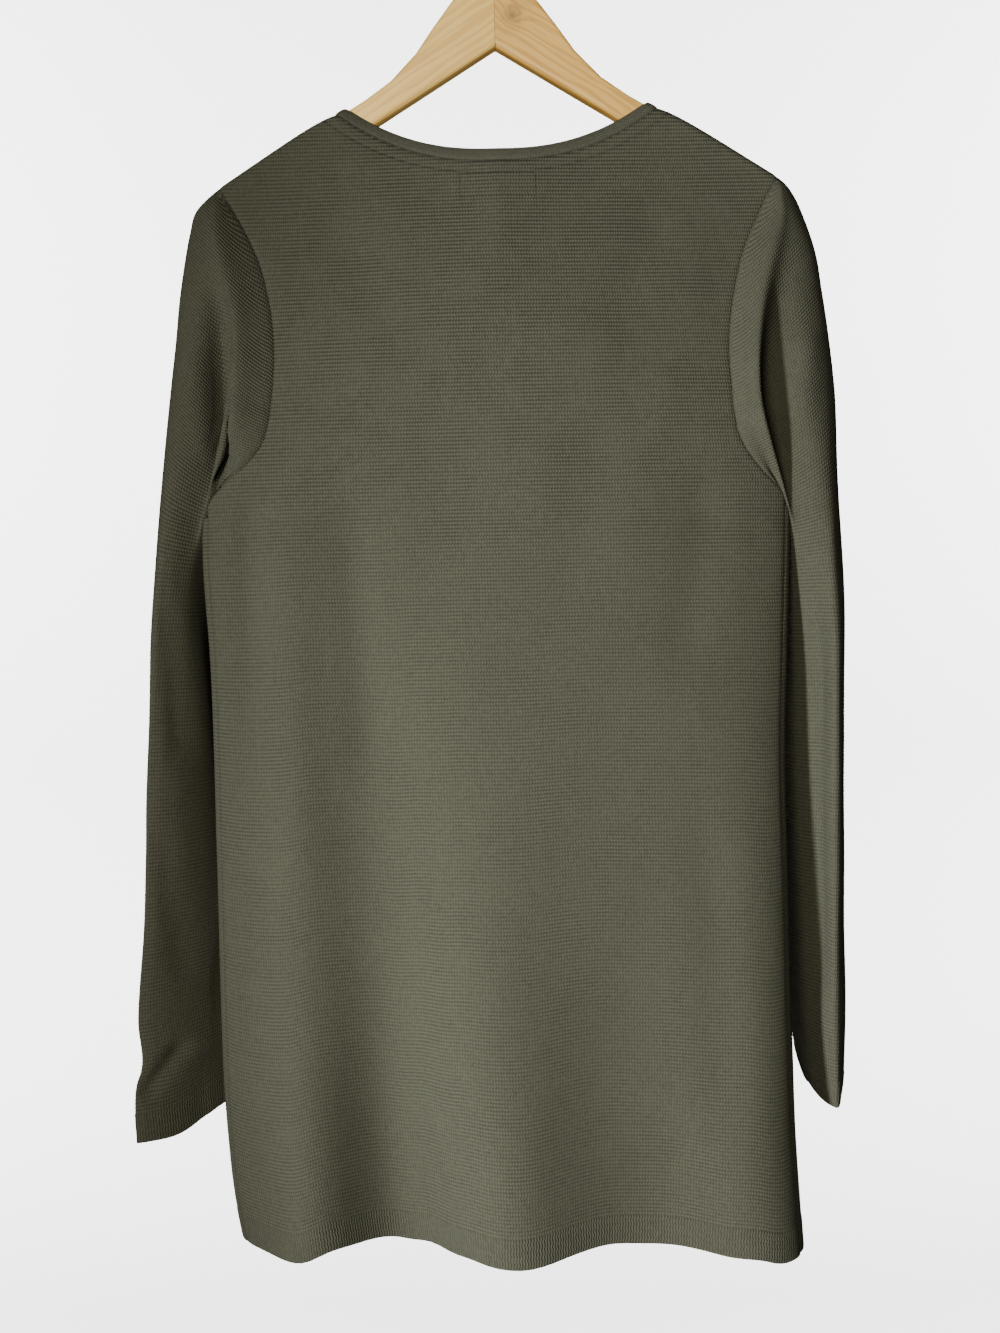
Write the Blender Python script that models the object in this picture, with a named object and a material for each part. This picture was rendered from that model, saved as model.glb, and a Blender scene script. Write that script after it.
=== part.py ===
"""A long knitted cardigan on a flat wooden hanger, in metres, +Z up.

The origin is the top of the hook's inner curve, where it hangs on a rail. The back of the
cardigan faces +Y, the open front faces -Y, and the wearer's left is +X. Each piece of cloth is
a wall built over one shared surface, so that neighbours meet along the same seam.
"""

import math

import bmesh
import bpy
import numpy as np

WALL = 0.002
SEAM_GAP = 0.0003
STEP = 1e-4

SHOULDER_START = 0.1135
SHOULDER_HEIGHT = -0.1515
SHOULDER_SLOPE = 0.636
SHOULDER_ROUND = 0.0088
SHOULDER_SQUARENESS = 3
SHOULDER_SETTLE = 0.20
SHOULDER_EASE = 0.0042
SHOULDER_EASE_LENGTH = 0.012
FLAT_TOP_END = -0.21
FLAT_TOP_FADE = 0.15
SECTION_POWER = 0.75
SIDE_SHIFT_POWER = 3
FOLD_TOP_SPREAD = 1.25
FOLD_EDGE_POWER = 0.5

NECK_BACK_DROP = 0.0367
NECK_FRONT_DROP = 0.104
NECK_BACK_POWER = 2.3
NECK_FRONT_POWER = 2.2
NECK_BAND_WIDTH = 0.0078
NECK_SEAM = 0.0002

ARMPIT = -0.4250
CROTCH = -0.4264
ARMPIT_RELIEF = -0.4315
ARMPIT_ROUND = 0.008
SIDE_SEAM_TURN = math.radians(77)
FRONT_EDGE_TOP = 0.0035
FRONT_EDGE_HEM = 0.0085

# Height, left and right side edge, depth of the back and the front, and how far the left and
# right side edges lie behind the middle plane.
BODY_COLUMNS = ("height", "left", "right", "back", "front", "left_y", "right_y")
BODY_ROWS = (
    (-0.968, 0.2060, 0.2040, 0.046, 0.044, -0.012, 0.016),
    (-0.930, 0.2115, 0.2020, 0.045, 0.043, -0.010, 0.014),
    (-0.880, 0.2150, 0.2000, 0.043, 0.041, -0.008, 0.011),
    (-0.800, 0.2159, 0.1988, 0.040, 0.038, -0.005, 0.008),
    (-0.700, 0.2151, 0.1984, 0.037, 0.035, -0.003, 0.005),
    (-0.600, 0.2141, 0.1979, 0.034, 0.032, -0.001, 0.003),
    (-0.530, 0.2143, 0.2005, 0.032, 0.030, 0.0, 0.002),
    (-0.460, 0.2172, 0.2034, 0.030, 0.028, 0.0, 0.0),
    (-0.425, 0.2165, 0.2045, 0.029, 0.027, 0.0, 0.0),
    (-0.330, 0.2160, 0.2060, 0.027, 0.025, 0.0, 0.0),
    (-0.150, 0.2160, 0.2080, 0.022, 0.020, 0.0, 0.0),
)

# The armhole's edge on the back, from the shoulder tip down to the armpit.
ARMHOLE_COLUMNS = ("height", "left", "right")
ARMHOLE_ROWS = (
    (-0.4250, 0.2128, 0.2012),
    (-0.4163, 0.2065, 0.1925),
    (-0.4080, 0.1975, 0.1835),
    (-0.3943, 0.1800, 0.1720),
    (-0.3838, 0.1705, 0.1660),
    (-0.3674, 0.1643, 0.1620),
    (-0.3495, 0.1614, 0.1603),
    (-0.3129, 0.1589, 0.1592),
    (-0.2942, 0.1600, 0.1612),
    (-0.2757, 0.1630, 0.1645),
    (-0.2605, 0.1665, 0.1682),
    (-0.2447, 0.1722, 0.1735),
    (-0.2288, 0.1797, 0.1810),
    (-0.2120, 0.1890, 0.1890),
    (-0.2001, 0.1965, 0.1965),
)

# Soft folds down the body: middle at the hem and at the top, height where each begins, width
# and depth at the hem, and how fast it grows. A back fold stands out towards +Y, a front fold
# towards -Y, and a negative depth is a trough.
FOLD_COLUMNS = ("hem_x", "top_x", "top", "width", "depth", "growth")
BACK_FOLDS = (
    (0.149, 0.158, -0.34, 0.024, 0.011, 1.0),
    (0.184, 0.186, -0.40, 0.014, -0.007, 0.8),
    (0.086, 0.118, -0.33, 0.030, -0.036, 1.6),
    (0.004, 0.030, -0.45, 0.034, 0.018, 1.7),
    (-0.098, -0.040, -0.50, 0.046, -0.011, 1.4),
    (-0.172, -0.165, -0.45, 0.030, 0.017, 1.5),
)
FRONT_FOLDS = (
    (0.165, 0.150, -0.36, 0.026, 0.010, 1.2),
    (0.112, 0.095, -0.34, 0.028, -0.022, 1.5),
    (0.052, 0.045, -0.42, 0.026, 0.015, 1.6),
    (-0.046, -0.030, -0.40, 0.027, 0.012, 1.5),
    (-0.100, -0.085, -0.36, 0.030, -0.020, 1.6),
    (-0.158, -0.150, -0.38, 0.026, 0.012, 1.3),
)

# The sleeve above the armpit: height, the lip of the fold beside the armhole, the bottom of
# that fold, the face beyond it and the outer edge. Sizes across are measured from the middle.
CAP_COLUMNS = (
    "height", "lip_x", "lip_y", "fold_x", "fold_y", "face_x", "face_y", "outer_x", "outer_y",
)
LEFT_CAP = (
    (-0.4235, 0.2168, 0.004, 0.2172, 0.002, 0.2360, 0.013, 0.2484, -0.004),
    (-0.4030, 0.2035, 0.021, 0.2060, 0.001, 0.2290, 0.013, 0.2462, -0.004),
    (-0.3740, 0.1962, 0.031, 0.1965, 0.000, 0.2230, 0.014, 0.2420, -0.003),
    (-0.3400, 0.1905, 0.033, 0.1905, 0.001, 0.2170, 0.015, 0.2370, -0.002),
    (-0.3050, 0.1880, 0.032, 0.1890, 0.004, 0.2130, 0.015, 0.2320, -0.001),
    (-0.2750, 0.1895, 0.029, 0.1930, 0.010, 0.2110, 0.016, 0.2280, 0.0),
    (-0.2500, 0.1935, 0.024, 0.1985, 0.016, 0.2100, 0.016, 0.2232, 0.0),
    (-0.2299, 0.1965, 0.018, 0.2020, 0.016, 0.2080, 0.013, 0.2182, 0.0),
    (-0.2168, 0.1960, 0.014, 0.2010, 0.013, 0.2060, 0.011, 0.2138, 0.0),
    (-0.2079, 0.1975, 0.009, 0.1995, 0.0085, 0.2015, 0.008, 0.2062, 0.0),
    (-0.1998, 0.1972, 0.002, 0.1974, 0.0015, 0.1976, 0.001, 0.1978, 0.0),
)
RIGHT_CAP = (
    (-0.4235, 0.2048, 0.004, 0.2052, 0.002, 0.2270, 0.010, 0.2445, -0.012),
    (-0.4063, 0.1930, 0.020, 0.1950, 0.001, 0.2200, 0.012, 0.2444, -0.010),
    (-0.3800, 0.1830, 0.030, 0.1850, 0.000, 0.2150, 0.014, 0.2440, -0.008),
    (-0.3540, 0.1790, 0.033, 0.1805, 0.001, 0.2110, 0.015, 0.2427, -0.006),
    (-0.3120, 0.1795, 0.033, 0.1810, 0.004, 0.2090, 0.016, 0.2385, -0.004),
    (-0.2800, 0.1835, 0.030, 0.1875, 0.010, 0.2090, 0.017, 0.2340, -0.002),
    (-0.2525, 0.1900, 0.025, 0.1960, 0.016, 0.2100, 0.017, 0.2297, 0.0),
    (-0.2295, 0.1965, 0.018, 0.2020, 0.016, 0.2100, 0.014, 0.2241, 0.0),
    (-0.2151, 0.1965, 0.014, 0.2020, 0.013, 0.2080, 0.011, 0.2184, 0.0),
    (-0.2060, 0.1975, 0.009, 0.1995, 0.0085, 0.2025, 0.008, 0.2100, 0.0),
    (-0.1998, 0.1972, 0.002, 0.1974, 0.0015, 0.1976, 0.001, 0.1978, 0.0),
)

# The sleeve below the armpit, as flattened rings: height, outer edge, how far the middle lies
# behind, half the width and half the thickness of the ring, the turn of its width from the X
# axis, and how far its near end dips.
TUBE_COLUMNS = ("height", "outer", "y", "half_width", "half_thickness", "turn", "dip")
LEFT_TUBE = (
    (-0.8760, 0.2812, -0.033, 0.0480, 0.0110, 40.0, 0.0110),
    (-0.8480, 0.2815, -0.033, 0.0482, 0.0120, 40.5, 0.0100),
    (-0.8360, 0.2800, -0.033, 0.0484, 0.0125, 41.0, 0.0090),
    (-0.8270, 0.2765, -0.034, 0.0486, 0.0130, 42.0, 0.0080),
    (-0.7900, 0.2753, -0.035, 0.0495, 0.0140, 44.0, 0.0060),
    (-0.7100, 0.2695, -0.038, 0.0520, 0.0160, 50.0, 0.0030),
    (-0.6300, 0.2638, -0.040, 0.0545, 0.0185, 56.0, 0.0),
    (-0.5300, 0.2572, -0.039, 0.0550, 0.0205, 65.0, 0.0),
    (-0.4650, 0.2520, -0.029, 0.0465, 0.0195, 74.0, 0.0),
    (-0.4330, 0.2497, -0.019, 0.0370, 0.0193, 76.0, 0.0),
)
RIGHT_TUBE = (
    (-0.8715, 0.2440, -0.047, 0.0470, 0.0090, 90.0, 0.0),
    (-0.8575, 0.2465, -0.046, 0.0472, 0.0125, 89.0, 0.0),
    (-0.8362, 0.2470, -0.045, 0.0478, 0.0145, 88.0, 0.0),
    (-0.7900, 0.2473, -0.043, 0.0495, 0.0180, 86.0, 0.0),
    (-0.7100, 0.2465, -0.042, 0.0520, 0.0195, 84.0, 0.0),
    (-0.6000, 0.2460, -0.042, 0.0550, 0.0205, 82.0, 0.0),
    (-0.5100, 0.2455, -0.037, 0.0535, 0.0215, 81.0, 0.0),
    (-0.4600, 0.2450, -0.028, 0.0460, 0.0220, 80.0, 0.0),
    (-0.4330, 0.2452, -0.019, 0.0370, 0.0210, 80.0, 0.0),
)
RING_TURNS = (90.0, 74.0, 56.0, 40.0, 18.0, -8.0, -60.0, -120.0, -166.0, -200.0, -226.0, -250.0, -270.0)
FRONT_CAP_DEPTH = 0.85
# Where the point between a sleeve's face and its outer edge lies, as shares of the way between.
NEAR_OUTER_X = 0.72
NEAR_FACE_Y = 0.62
# How far the front of the sleeve swings forward at the armpit, and the share of it each control
# point of the section takes from the outer edge to the front seam.
FRONT_CAP_FORWARD = 0.032
FORWARD_TOP = -0.300
FORWARD_SHARES = (0.3, 0.8, 1.0, 0.75, 0.45, 0.15, 0.0)
SLEEVE_CLEARANCE = 0.0017
SLEEVE_CROTCH = -0.4254
BESIDE_STEPS = 181
CROTCH_POINTS = 3
CROTCH_BLEND = 0.35
TUBE_ROW_COUNT = 12
SLEEVE_COLUMN_COUNT = 26
TIP_ROWS = 4

NECK_STOPS = (0.0, 0.16, 0.32, 0.47, 0.61, 0.74, 0.85, 0.93, 0.975, 0.994, 1.0)
SHOULDER_COLUMN_COUNT = 7
CORNER_REACH = 0.0004
SKIRT_ROW_COUNT = 11
CHEST_ROW_COUNT = 9
CHEST_CROWDING = 1.3
YOKE_DEPTH = 0.030
YOKE_STOPS = (0.25, 0.50, 0.72, 0.86, 0.94, 0.987, 1.0)
HEM_RISE = 0.008
HEM_LIFT_SHARE = 0.16
HEM_SIDE_LIFT = 0.012
HEM_SIDE_POWER = 8
TOP_EDGE_PASSES = 6

BAND_STOPS = (0.0, 0.5, 1.0)

HANGER_HALF_THICKNESS = 0.006
HANGER_JOINT_GAP = 0.0003
HANGER_EDGE_ROUND = 0.003
HANGER_EDGE_SEGMENTS = 3
HANGER_UNDER_CLOTH = 0.0032
# The top edge of an arm beside the hook, where no cloth covers it, then its rounded end.
HANGER_TOP = (
    (HANGER_JOINT_GAP / 2, -0.0545), (0.009, -0.0562), (0.019, -0.0636), (0.030, -0.0757),
    (0.043, -0.0925), (0.056, -0.1107), (0.074, -0.1290), (0.092, -0.1415), (0.1035, -0.1483),
)
HANGER_COVERED_X = (0.1135, 0.124, 0.140, 0.158, 0.178, 0.1915)
HANGER_END = ((0.1960, -0.2062), (0.2015, -0.2118), (0.2048, -0.2172), (0.2052, -0.2230), (0.2018, -0.2282))
HANGER_END_LENGTH = 0.012
HANGER_BOTTOM_MIDDLE = -0.1070
HANGER_BOTTOM_SLOPE = 0.606

HOOK_WIRE_RADIUS = 0.00175
HOOK_INNER_RADIUS = 0.0165
HOOK_FOOT_GAP = 0.0003
HOOK_START_TURN = math.radians(-58)
HOOK_END_TURN = math.radians(205)
HOOK_ARC_POINTS = 22
HOOK_COLLAR_SCALE = 2.3
HOOK_COLLAR_HEIGHT = 0.0035
HOOK_COLLAR_ROUND = 0.0006
HOOK_SHANK_TOP = -0.0440
HOOK_BEND_STOPS = (0.35, 0.7)

SMOOTH_ANGLE = math.radians(50)
MERGE_REACH = 1e-7
KNIT_ROUGHNESS = 0.9
WOOD_ROUGHNESS = 0.5
METAL_ROUGHNESS = 0.3
KNIT_COLOUR = (0.105, 0.100, 0.070, 1.0)
BAND_COLOUR = (0.120, 0.114, 0.080, 1.0)
WOOD_COLOUR = (0.62, 0.45, 0.26, 1.0)
METAL_COLOUR = (0.62, 0.62, 0.62, 1.0)


def read_table(rows, columns, height):
    """Each column of a table at the given heights, on a smooth curve through the rows."""
    table = np.array(sorted(rows))
    heights = table[:, 0]
    place = np.clip(height, heights[0], heights[-1])
    cell = np.clip(np.searchsorted(heights, place, side="right") - 1, 0, len(heights) - 2)
    length = heights[cell + 1] - heights[cell]
    share = (place - heights[cell]) / length
    found = {}
    for name, values in zip(columns[1:], table[:, 1:].T):
        slopes = np.gradient(values, heights)
        first = (1 + 2 * share) * (1 - share) ** 2 * values[cell]
        second = share**2 * (3 - 2 * share) * values[cell + 1]
        lean = share * (1 - share) ** 2 * slopes[cell] - share**2 * (1 - share) * slopes[cell + 1]
        found[name] = first + second + length * lean
    return found


def ease(value):
    """A smooth rise from 0 to 1."""
    share = np.clip(value, 0.0, 1.0)
    return share * share * (3 - 2 * share)


def shoulder_line(x):
    """Height of the shoulder seam at a distance from the middle."""
    out = np.abs(x) - SHOULDER_START
    straight = SHOULDER_HEIGHT - SHOULDER_SLOPE * out
    return straight - SHOULDER_EASE * np.exp(-np.clip(out, 0, 1) / SHOULDER_EASE_LENGTH) + SHOULDER_EASE


def neck_line(x, front):
    """Height of the neck seam at a distance from the middle, on the back or the front."""
    drop = NECK_FRONT_DROP if front else NECK_BACK_DROP
    power = NECK_FRONT_POWER if front else NECK_BACK_POWER
    share = np.clip(np.abs(x) / SHOULDER_START, 0, 1)
    return SHOULDER_HEIGHT - drop * (1 - share**power)


def top_line(x, front):
    """Height of a panel's top edge: the neck in the middle, then the shoulder."""
    return np.where(np.abs(x) < SHOULDER_START, neck_line(x, front), shoulder_line(x))


def fold_offset(folds, x, height):
    """How far the folds push the cloth out at a place."""
    total = np.zeros_like(x)
    hem = BODY_ROWS[0][0]
    for fold in folds:
        size = dict(zip(FOLD_COLUMNS, fold))
        grown = np.clip((size["top"] - height) / (size["top"] - hem), 0, 1)
        middle = size["top_x"] + (size["hem_x"] - size["top_x"]) * grown
        spread = size["width"] * (FOLD_TOP_SPREAD - (FOLD_TOP_SPREAD - 1) * grown)
        shape = np.exp(-0.5 * ((x - middle) / spread) ** 2)
        total = total + size["depth"] * grown ** size["growth"] * shape
    return total


def body_point(turn, height):
    """A point of the body's outer face.

    The turn goes round the body from 0 at the centre back through a quarter turn at the left
    side (negative at the right side) to half a turn at the centre front.
    """
    turn, height = np.broadcast_arrays(np.asarray(turn, float), np.asarray(height, float))
    row = read_table(BODY_ROWS, BODY_COLUMNS, height)
    across = np.sin(turn)
    facing = np.cos(turn)
    left = across > 0
    x = across * np.where(left, row["left"], row["right"])
    side_y = np.where(left, row["left_y"], row["right_y"]) * np.abs(across) ** SIDE_SHIFT_POWER
    roundness = np.abs(facing) ** SECTION_POWER
    level = 1 + (roundness - 1) * ease((FLAT_TOP_END - height) / FLAT_TOP_FADE)
    below = np.clip(shoulder_line(x) - height, 0, None)
    turned = 1 - (1 - np.clip(below / SHOULDER_ROUND, 0, 1)) ** SHOULDER_SQUARENESS
    rise = turned ** (1 / SHOULDER_SQUARENESS)
    settled = ease((below - SHOULDER_ROUND) / SHOULDER_SETTLE)
    depth = np.where(facing > 0, row["back"], row["front"])
    reach = SHOULDER_ROUND * rise + (depth - SHOULDER_ROUND) * settled
    reach = reach * level
    back = fold_offset(BACK_FOLDS, x, height) * roundness**FOLD_EDGE_POWER
    front = fold_offset(FRONT_FOLDS, x, height) * roundness**FOLD_EDGE_POWER
    y = np.where(facing > 0, reach + back, -reach - front) + side_y
    return np.stack([x, y, height], axis=-1)


def body_normal(turn, height):
    """The outward direction of the body's face, from its slopes both ways."""
    around = body_point(turn + STEP, height) - body_point(turn - STEP, height)
    upward = body_point(turn, height + STEP) - body_point(turn, height - STEP)
    normal = np.cross(upward, around)
    normal = normal / np.linalg.norm(normal, axis=-1, keepdims=True)
    return normal


def ridge_normal(x):
    """The outward direction at the top of the shoulder, square to its seam."""
    rise = shoulder_line(x + STEP) - shoulder_line(x - STEP)
    normal = np.stack([-rise, 0 * rise, 2 * STEP + 0 * rise], axis=-1)
    return normal / np.linalg.norm(normal, axis=-1, keepdims=True)


def side_turn(x, height, left):
    """The turn at which the body reaches a distance from the middle, on its back half."""
    row = read_table(BODY_ROWS, BODY_COLUMNS, height)
    reach = row["left"] if left else row["right"]
    return np.arcsin(np.clip(x / reach, -1, 1))


def armhole_turn(height, left, front):
    """The turn of a panel's outer edge: the armhole above the armpit, the side seam below."""
    hole = read_table(ARMHOLE_ROWS, ARMHOLE_COLUMNS, height)["left" if left else "right"]
    turn = side_turn(hole, height, left)
    if not front:
        return np.where(height > ARMPIT, np.minimum(turn, SIDE_SEAM_TURN), SIDE_SEAM_TURN)
    rounding = ease((height - ARMPIT_RELIEF) / ARMPIT_ROUND)
    return SIDE_SEAM_TURN + (math.pi - turn - SIDE_SEAM_TURN) * rounding


def hem_lift(x, front):
    """How far the hem rises above its lowest level: less under a fold, more at the side edges."""
    folds = FRONT_FOLDS if front else BACK_FOLDS
    drop = HEM_LIFT_SHARE * fold_offset(folds, x, np.full_like(x, BODY_ROWS[0][0]))
    side = HEM_SIDE_LIFT * np.clip(np.abs(x) / BODY_ROWS[0][1], 0, 1) ** HEM_SIDE_POWER
    return HEM_RISE - drop + side


def row_heights(hem_x, top_x, front):
    """Heights of a panel's rows at each column: the skirt, the chest and the yoke."""
    hem = BODY_ROWS[0][0] + hem_lift(hem_x, front)
    skirt = [hem + (ARMPIT_RELIEF - hem) * step / SKIRT_ROW_COUNT for step in range(SKIRT_ROW_COUNT)]
    rows = skirt + [ARMPIT_RELIEF + 0 * hem] + upper_heights(top_line(top_x, front))
    return np.array(rows)


def upper_heights(top):
    """Heights of the rows from the armpit to a top edge, the same on a panel and its sleeve."""
    yoke = top - YOKE_DEPTH
    rows = []
    for step in range(CHEST_ROW_COUNT):
        share = (step / CHEST_ROW_COUNT) ** CHEST_CROWDING
        rows.append(CROTCH + (yoke - CROTCH) * share)
    rows.append(yoke)
    rows.extend(yoke + (top - yoke) * stop for stop in YOKE_STOPS)
    return rows


def column_shares(left, front):
    """A panel's columns from the middle to the armhole, with one where neck and shoulder meet."""
    reach = BODY_ROWS[-1][1 if left else 2]
    tip = math.asin(ARMHOLE_ROWS[-1][1 if left else 2] / reach)
    neck = [math.asin(stop * SHOULDER_START / reach) / tip for stop in NECK_STOPS]
    if front:
        middle = math.asin(FRONT_EDGE_TOP / reach) / tip
        neck = [max(share, middle) for share in neck]
        neck = [(share - middle) / (1 - middle) for share in neck]
    rest = [
        neck[-1] + (1 - neck[-1]) * step / SHOULDER_COLUMN_COUNT
        for step in range(1, SHOULDER_COLUMN_COUNT + 1)
    ]
    return np.array(neck + rest)


def back_turn(share, height):
    """The turn of a column of the back, from -1 at its right edge to 1 at its left edge."""
    left = armhole_turn(height, True, False)
    right = armhole_turn(height, False, False)
    return share * np.where(share > 0, left, right)


def front_turn(share, height, left):
    """The turn of a column of a front, from 0 at its open edge to 1 at its outer edge."""
    row = read_table(BODY_ROWS, BODY_COLUMNS, height)
    reach = row["left" if left else "right"]
    opened = ease((SHOULDER_HEIGHT - height) / (SHOULDER_HEIGHT - BODY_ROWS[0][0]))
    edge_x = FRONT_EDGE_TOP + (FRONT_EDGE_HEM - FRONT_EDGE_TOP) * opened
    outer = armhole_turn(height, left, True)
    inner = math.pi - np.arcsin(edge_x / reach)
    turn = inner + (outer - inner) * share
    return turn if left else -turn


def panel(share, turn_of, front):
    """The outer points and outward directions of a panel, row by row from the hem."""
    tip_height = ARMHOLE_ROWS[-1][0]
    hem_x = body_point(turn_of(share, np.full_like(share, BODY_ROWS[0][0])), BODY_ROWS[0][0])[:, 0]
    top_x = body_point(turn_of(share, np.full_like(share, tip_height)), tip_height)[:, 0]
    for _ in range(TOP_EDGE_PASSES):
        heights = row_heights(hem_x, top_x, front)
        turns = turn_of(share[None, :] + 0 * heights, heights)
        top_x = body_point(turns[-1], heights[-1])[:, 0]
    at_corner = np.abs(np.abs(top_x) - SHOULDER_START) < CORNER_REACH
    top_x = np.where(at_corner, np.sign(top_x) * SHOULDER_START, top_x)
    heights = row_heights(hem_x, top_x, front)
    on_shoulder = np.abs(top_x) > SHOULDER_START + CORNER_REACH
    turns = turn_of(share[None, :] + 0 * heights, heights)
    for column in np.flatnonzero(~on_shoulder):
        across = top_x[column] / SHOULDER_START
        turns[-1, column], heights[-1, column] = neck_place(across, -NECK_SEAM, front)
    points = body_point(turns, heights)
    normals = body_normal(turns, heights)
    way = -1 if front else 1
    seam = np.abs(top_x) >= SHOULDER_START
    points[-1, seam, 1] = way * SEAM_GAP / 2
    normals[-1, seam] = ridge_normal(points[-1, seam, 0])
    return points, normals


def pull_edges(points, first, last):
    """Move the first and last columns in along the cloth, to leave the gap at a seam."""
    moved = points.copy()
    for wanted, edge, inner in ((first, 0, 1), (last, -1, -2)):
        if wanted:
            along = points[:, inner] - points[:, edge]
            length = np.linalg.norm(along, axis=-1, keepdims=True)
            moved[:, edge] = points[:, edge] + along / length * SEAM_GAP / 2
    return moved


def curve_through(controls, shares):
    """Points on a smooth curve through control points, for shares from 0 to 1 of its length."""
    count = len(controls) - 1
    place = np.clip(np.asarray(shares) * count, 0, count)
    cell = np.minimum(place.astype(int), count - 1)
    share = (place - cell)[:, None]
    slopes = np.gradient(controls, axis=0)
    first = (1 + 2 * share) * (1 - share) ** 2 * controls[cell]
    second = share**2 * (3 - 2 * share) * controls[cell + 1]
    lean = share * (1 - share) ** 2 * slopes[cell] - share**2 * (1 - share) * slopes[cell + 1]
    return first + second + lean


def seam_point(height, left, front, out=SEAM_GAP / 2):
    """A point of the sleeve's own edge at the armhole, just clear of the body panel."""
    side = 1 if left else -1
    turn = armhole_turn(np.array(height), left, front)
    inside = body_point(side * turn, height)
    beyond = body_point(side * (turn + (-STEP if front else STEP)), height)
    along = (beyond - inside) / np.linalg.norm(beyond - inside)
    point = inside + along * out
    point[0] = abs(point[0])
    return point


def cap_section(height, left):
    """The control points of the sleeve's section above the armpit, from back seam to front seam."""
    row = read_table(LEFT_CAP if left else RIGHT_CAP, CAP_COLUMNS, np.array(height))
    lip = (float(row["lip_x"]), float(row["lip_y"]))
    fold = (float(row["fold_x"]), float(row["fold_y"]))
    face = (float(row["face_x"]), float(row["face_y"]))
    outer = (float(row["outer_x"]), float(row["outer_y"]))
    near_x = face[0] + NEAR_OUTER_X * (outer[0] - face[0])
    near = (near_x, outer[1] + NEAR_FACE_Y * (face[1] - outer[1]))
    back_seam = seam_point(height, left, False)[:2]
    front_seam = seam_point(height, left, True)[:2]
    shallower = 1 - (1 - FRONT_CAP_DEPTH) * float(ease((FLAT_TOP_END - height) / FLAT_TOP_FADE))
    forward = FRONT_CAP_FORWARD * float(ease((FORWARD_TOP - height) / (FORWARD_TOP - SLEEVE_CROTCH)))

    def mirrored(point):
        return (point[0], outer[1] - (point[1] - outer[1]) * shallower)

    back_middle = (np.array(back_seam) + np.array(lip)) / 2
    front_middle = (np.array(front_seam) + np.array(mirrored(lip))) / 2
    controls = [
        back_seam, back_middle, lip, fold, face, near, outer,
        mirrored(near), mirrored(face), mirrored(fold), mirrored(lip), front_middle, front_seam,
    ]
    section = np.array([[x, y, height] for x, y in controls])
    section[-len(FORWARD_SHARES):, 1] -= forward * np.array(FORWARD_SHARES)
    return section


def tube_section(height, left):
    """The control points of the sleeve's ring at a height below the armpit."""
    row = read_table(LEFT_TUBE if left else RIGHT_TUBE, TUBE_COLUMNS, np.array(height))
    turn = math.radians(float(row["turn"]))
    wide, thick = float(row["half_width"]), float(row["half_thickness"])
    reach = math.hypot(wide * math.cos(turn), thick * math.sin(turn))
    middle_x, middle_y = float(row["outer"]) - reach, float(row["y"])
    controls = []
    for degrees in RING_TURNS:
        angle = math.radians(degrees)
        along, beside = wide * math.cos(angle), thick * math.sin(angle)
        x = middle_x + along * math.cos(turn) - beside * math.sin(turn)
        y = middle_y + along * math.sin(turn) + beside * math.cos(turn)
        controls.append((x, y, height - float(row["dip"]) * math.cos(angle)))
    return np.array(controls)


def crotch_section(left):
    """The control points at the armpit, where the sleeve's two edges meet and the ring closes."""
    above = cap_section(cap_heights()[-1], left)
    below = tube_section(LEFT_TUBE[-1][0], left)
    controls = above + (below - above) * CROTCH_BLEND
    row = read_table(BODY_ROWS, BODY_COLUMNS, np.array(SLEEVE_CROTCH))
    side = float(row["left" if left else "right"]) + SLEEVE_CLEARANCE
    for index in range(len(controls)):
        share = ease((min(index, len(controls) - 1 - index) - 0.5) / CROTCH_POINTS)
        controls[index, 0] = side + (controls[index, 0] - side) * share
        controls[index, 1] = controls[index, 1] * share
    controls[:, 2] = SLEEVE_CROTCH
    return controls


def beside_body(points, left):
    """Move one row of a sleeve's points out to where they rest against the body's side."""
    turns = np.linspace(0, math.pi, BESIDE_STEPS)
    outline = body_point(turns if left else -turns, points[:, 2].mean())
    reach = np.abs(outline[::-1, 0]) + SLEEVE_CLEARANCE
    depth = outline[::-1, 1]
    limit = np.interp(points[:, 1], depth, reach, left=0, right=0)
    moved = points.copy()
    moved[:, 0] = np.maximum(points[:, 0], limit)
    return moved


def cap_heights():
    """Heights of the sleeve's rows from just under the shoulder tip to just above the armpit."""
    rows = upper_heights(ARMHOLE_ROWS[-1][0])
    return rows[1:-1][::-1]


def sleeve(left):
    """The outer points and outward directions of a sleeve, and how many rows stay open."""
    shares = np.linspace(0, 1, SLEEVE_COLUMN_COUNT + 1)
    heights = cap_heights()
    table = LEFT_TUBE if left else RIGHT_TUBE
    start, end = table[-1][0], table[0][0]
    tube_heights = [start + (end - start) * step / TUBE_ROW_COUNT for step in range(TUBE_ROW_COUNT + 1)]
    sections = [cap_section(height, left) for height in heights]
    sections.append(crotch_section(left))
    sections.extend(tube_section(height, left) for height in tube_heights)
    points = np.array([curve_through(section, shares) for section in sections])
    open_rows = len(heights)
    for row in range(open_rows, len(points)):
        points[row] = beside_body(points[row], left)
    points[open_rows:, -1] = points[open_rows:, 0]
    if not left:
        points[..., 0] *= -1
    normals = sheet_normals(points, open_rows)
    if not left:
        normals *= -1
    for index, height in enumerate(heights):
        for column, front in ((0, False), (-1, True)):
            turn = armhole_turn(np.array(height), left, front)
            normals[index, column] = body_normal(turn if left else -turn, height)
    tip = ridge_normal(points[0, 1:-1, 0])
    normals[0, 1:-1] = tip
    normals[1, 1:-1] += tip
    for edge, beside in ((0, 1), (-1, -2)):
        normals[1:TIP_ROWS, beside] += normals[1:TIP_ROWS, edge]
    normals[1:TIP_ROWS] /= np.linalg.norm(normals[1:TIP_ROWS], axis=-1, keepdims=True)
    normals[open_rows, (0, -1), :] = (0, 0, -1)
    return points, normals, open_rows


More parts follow.
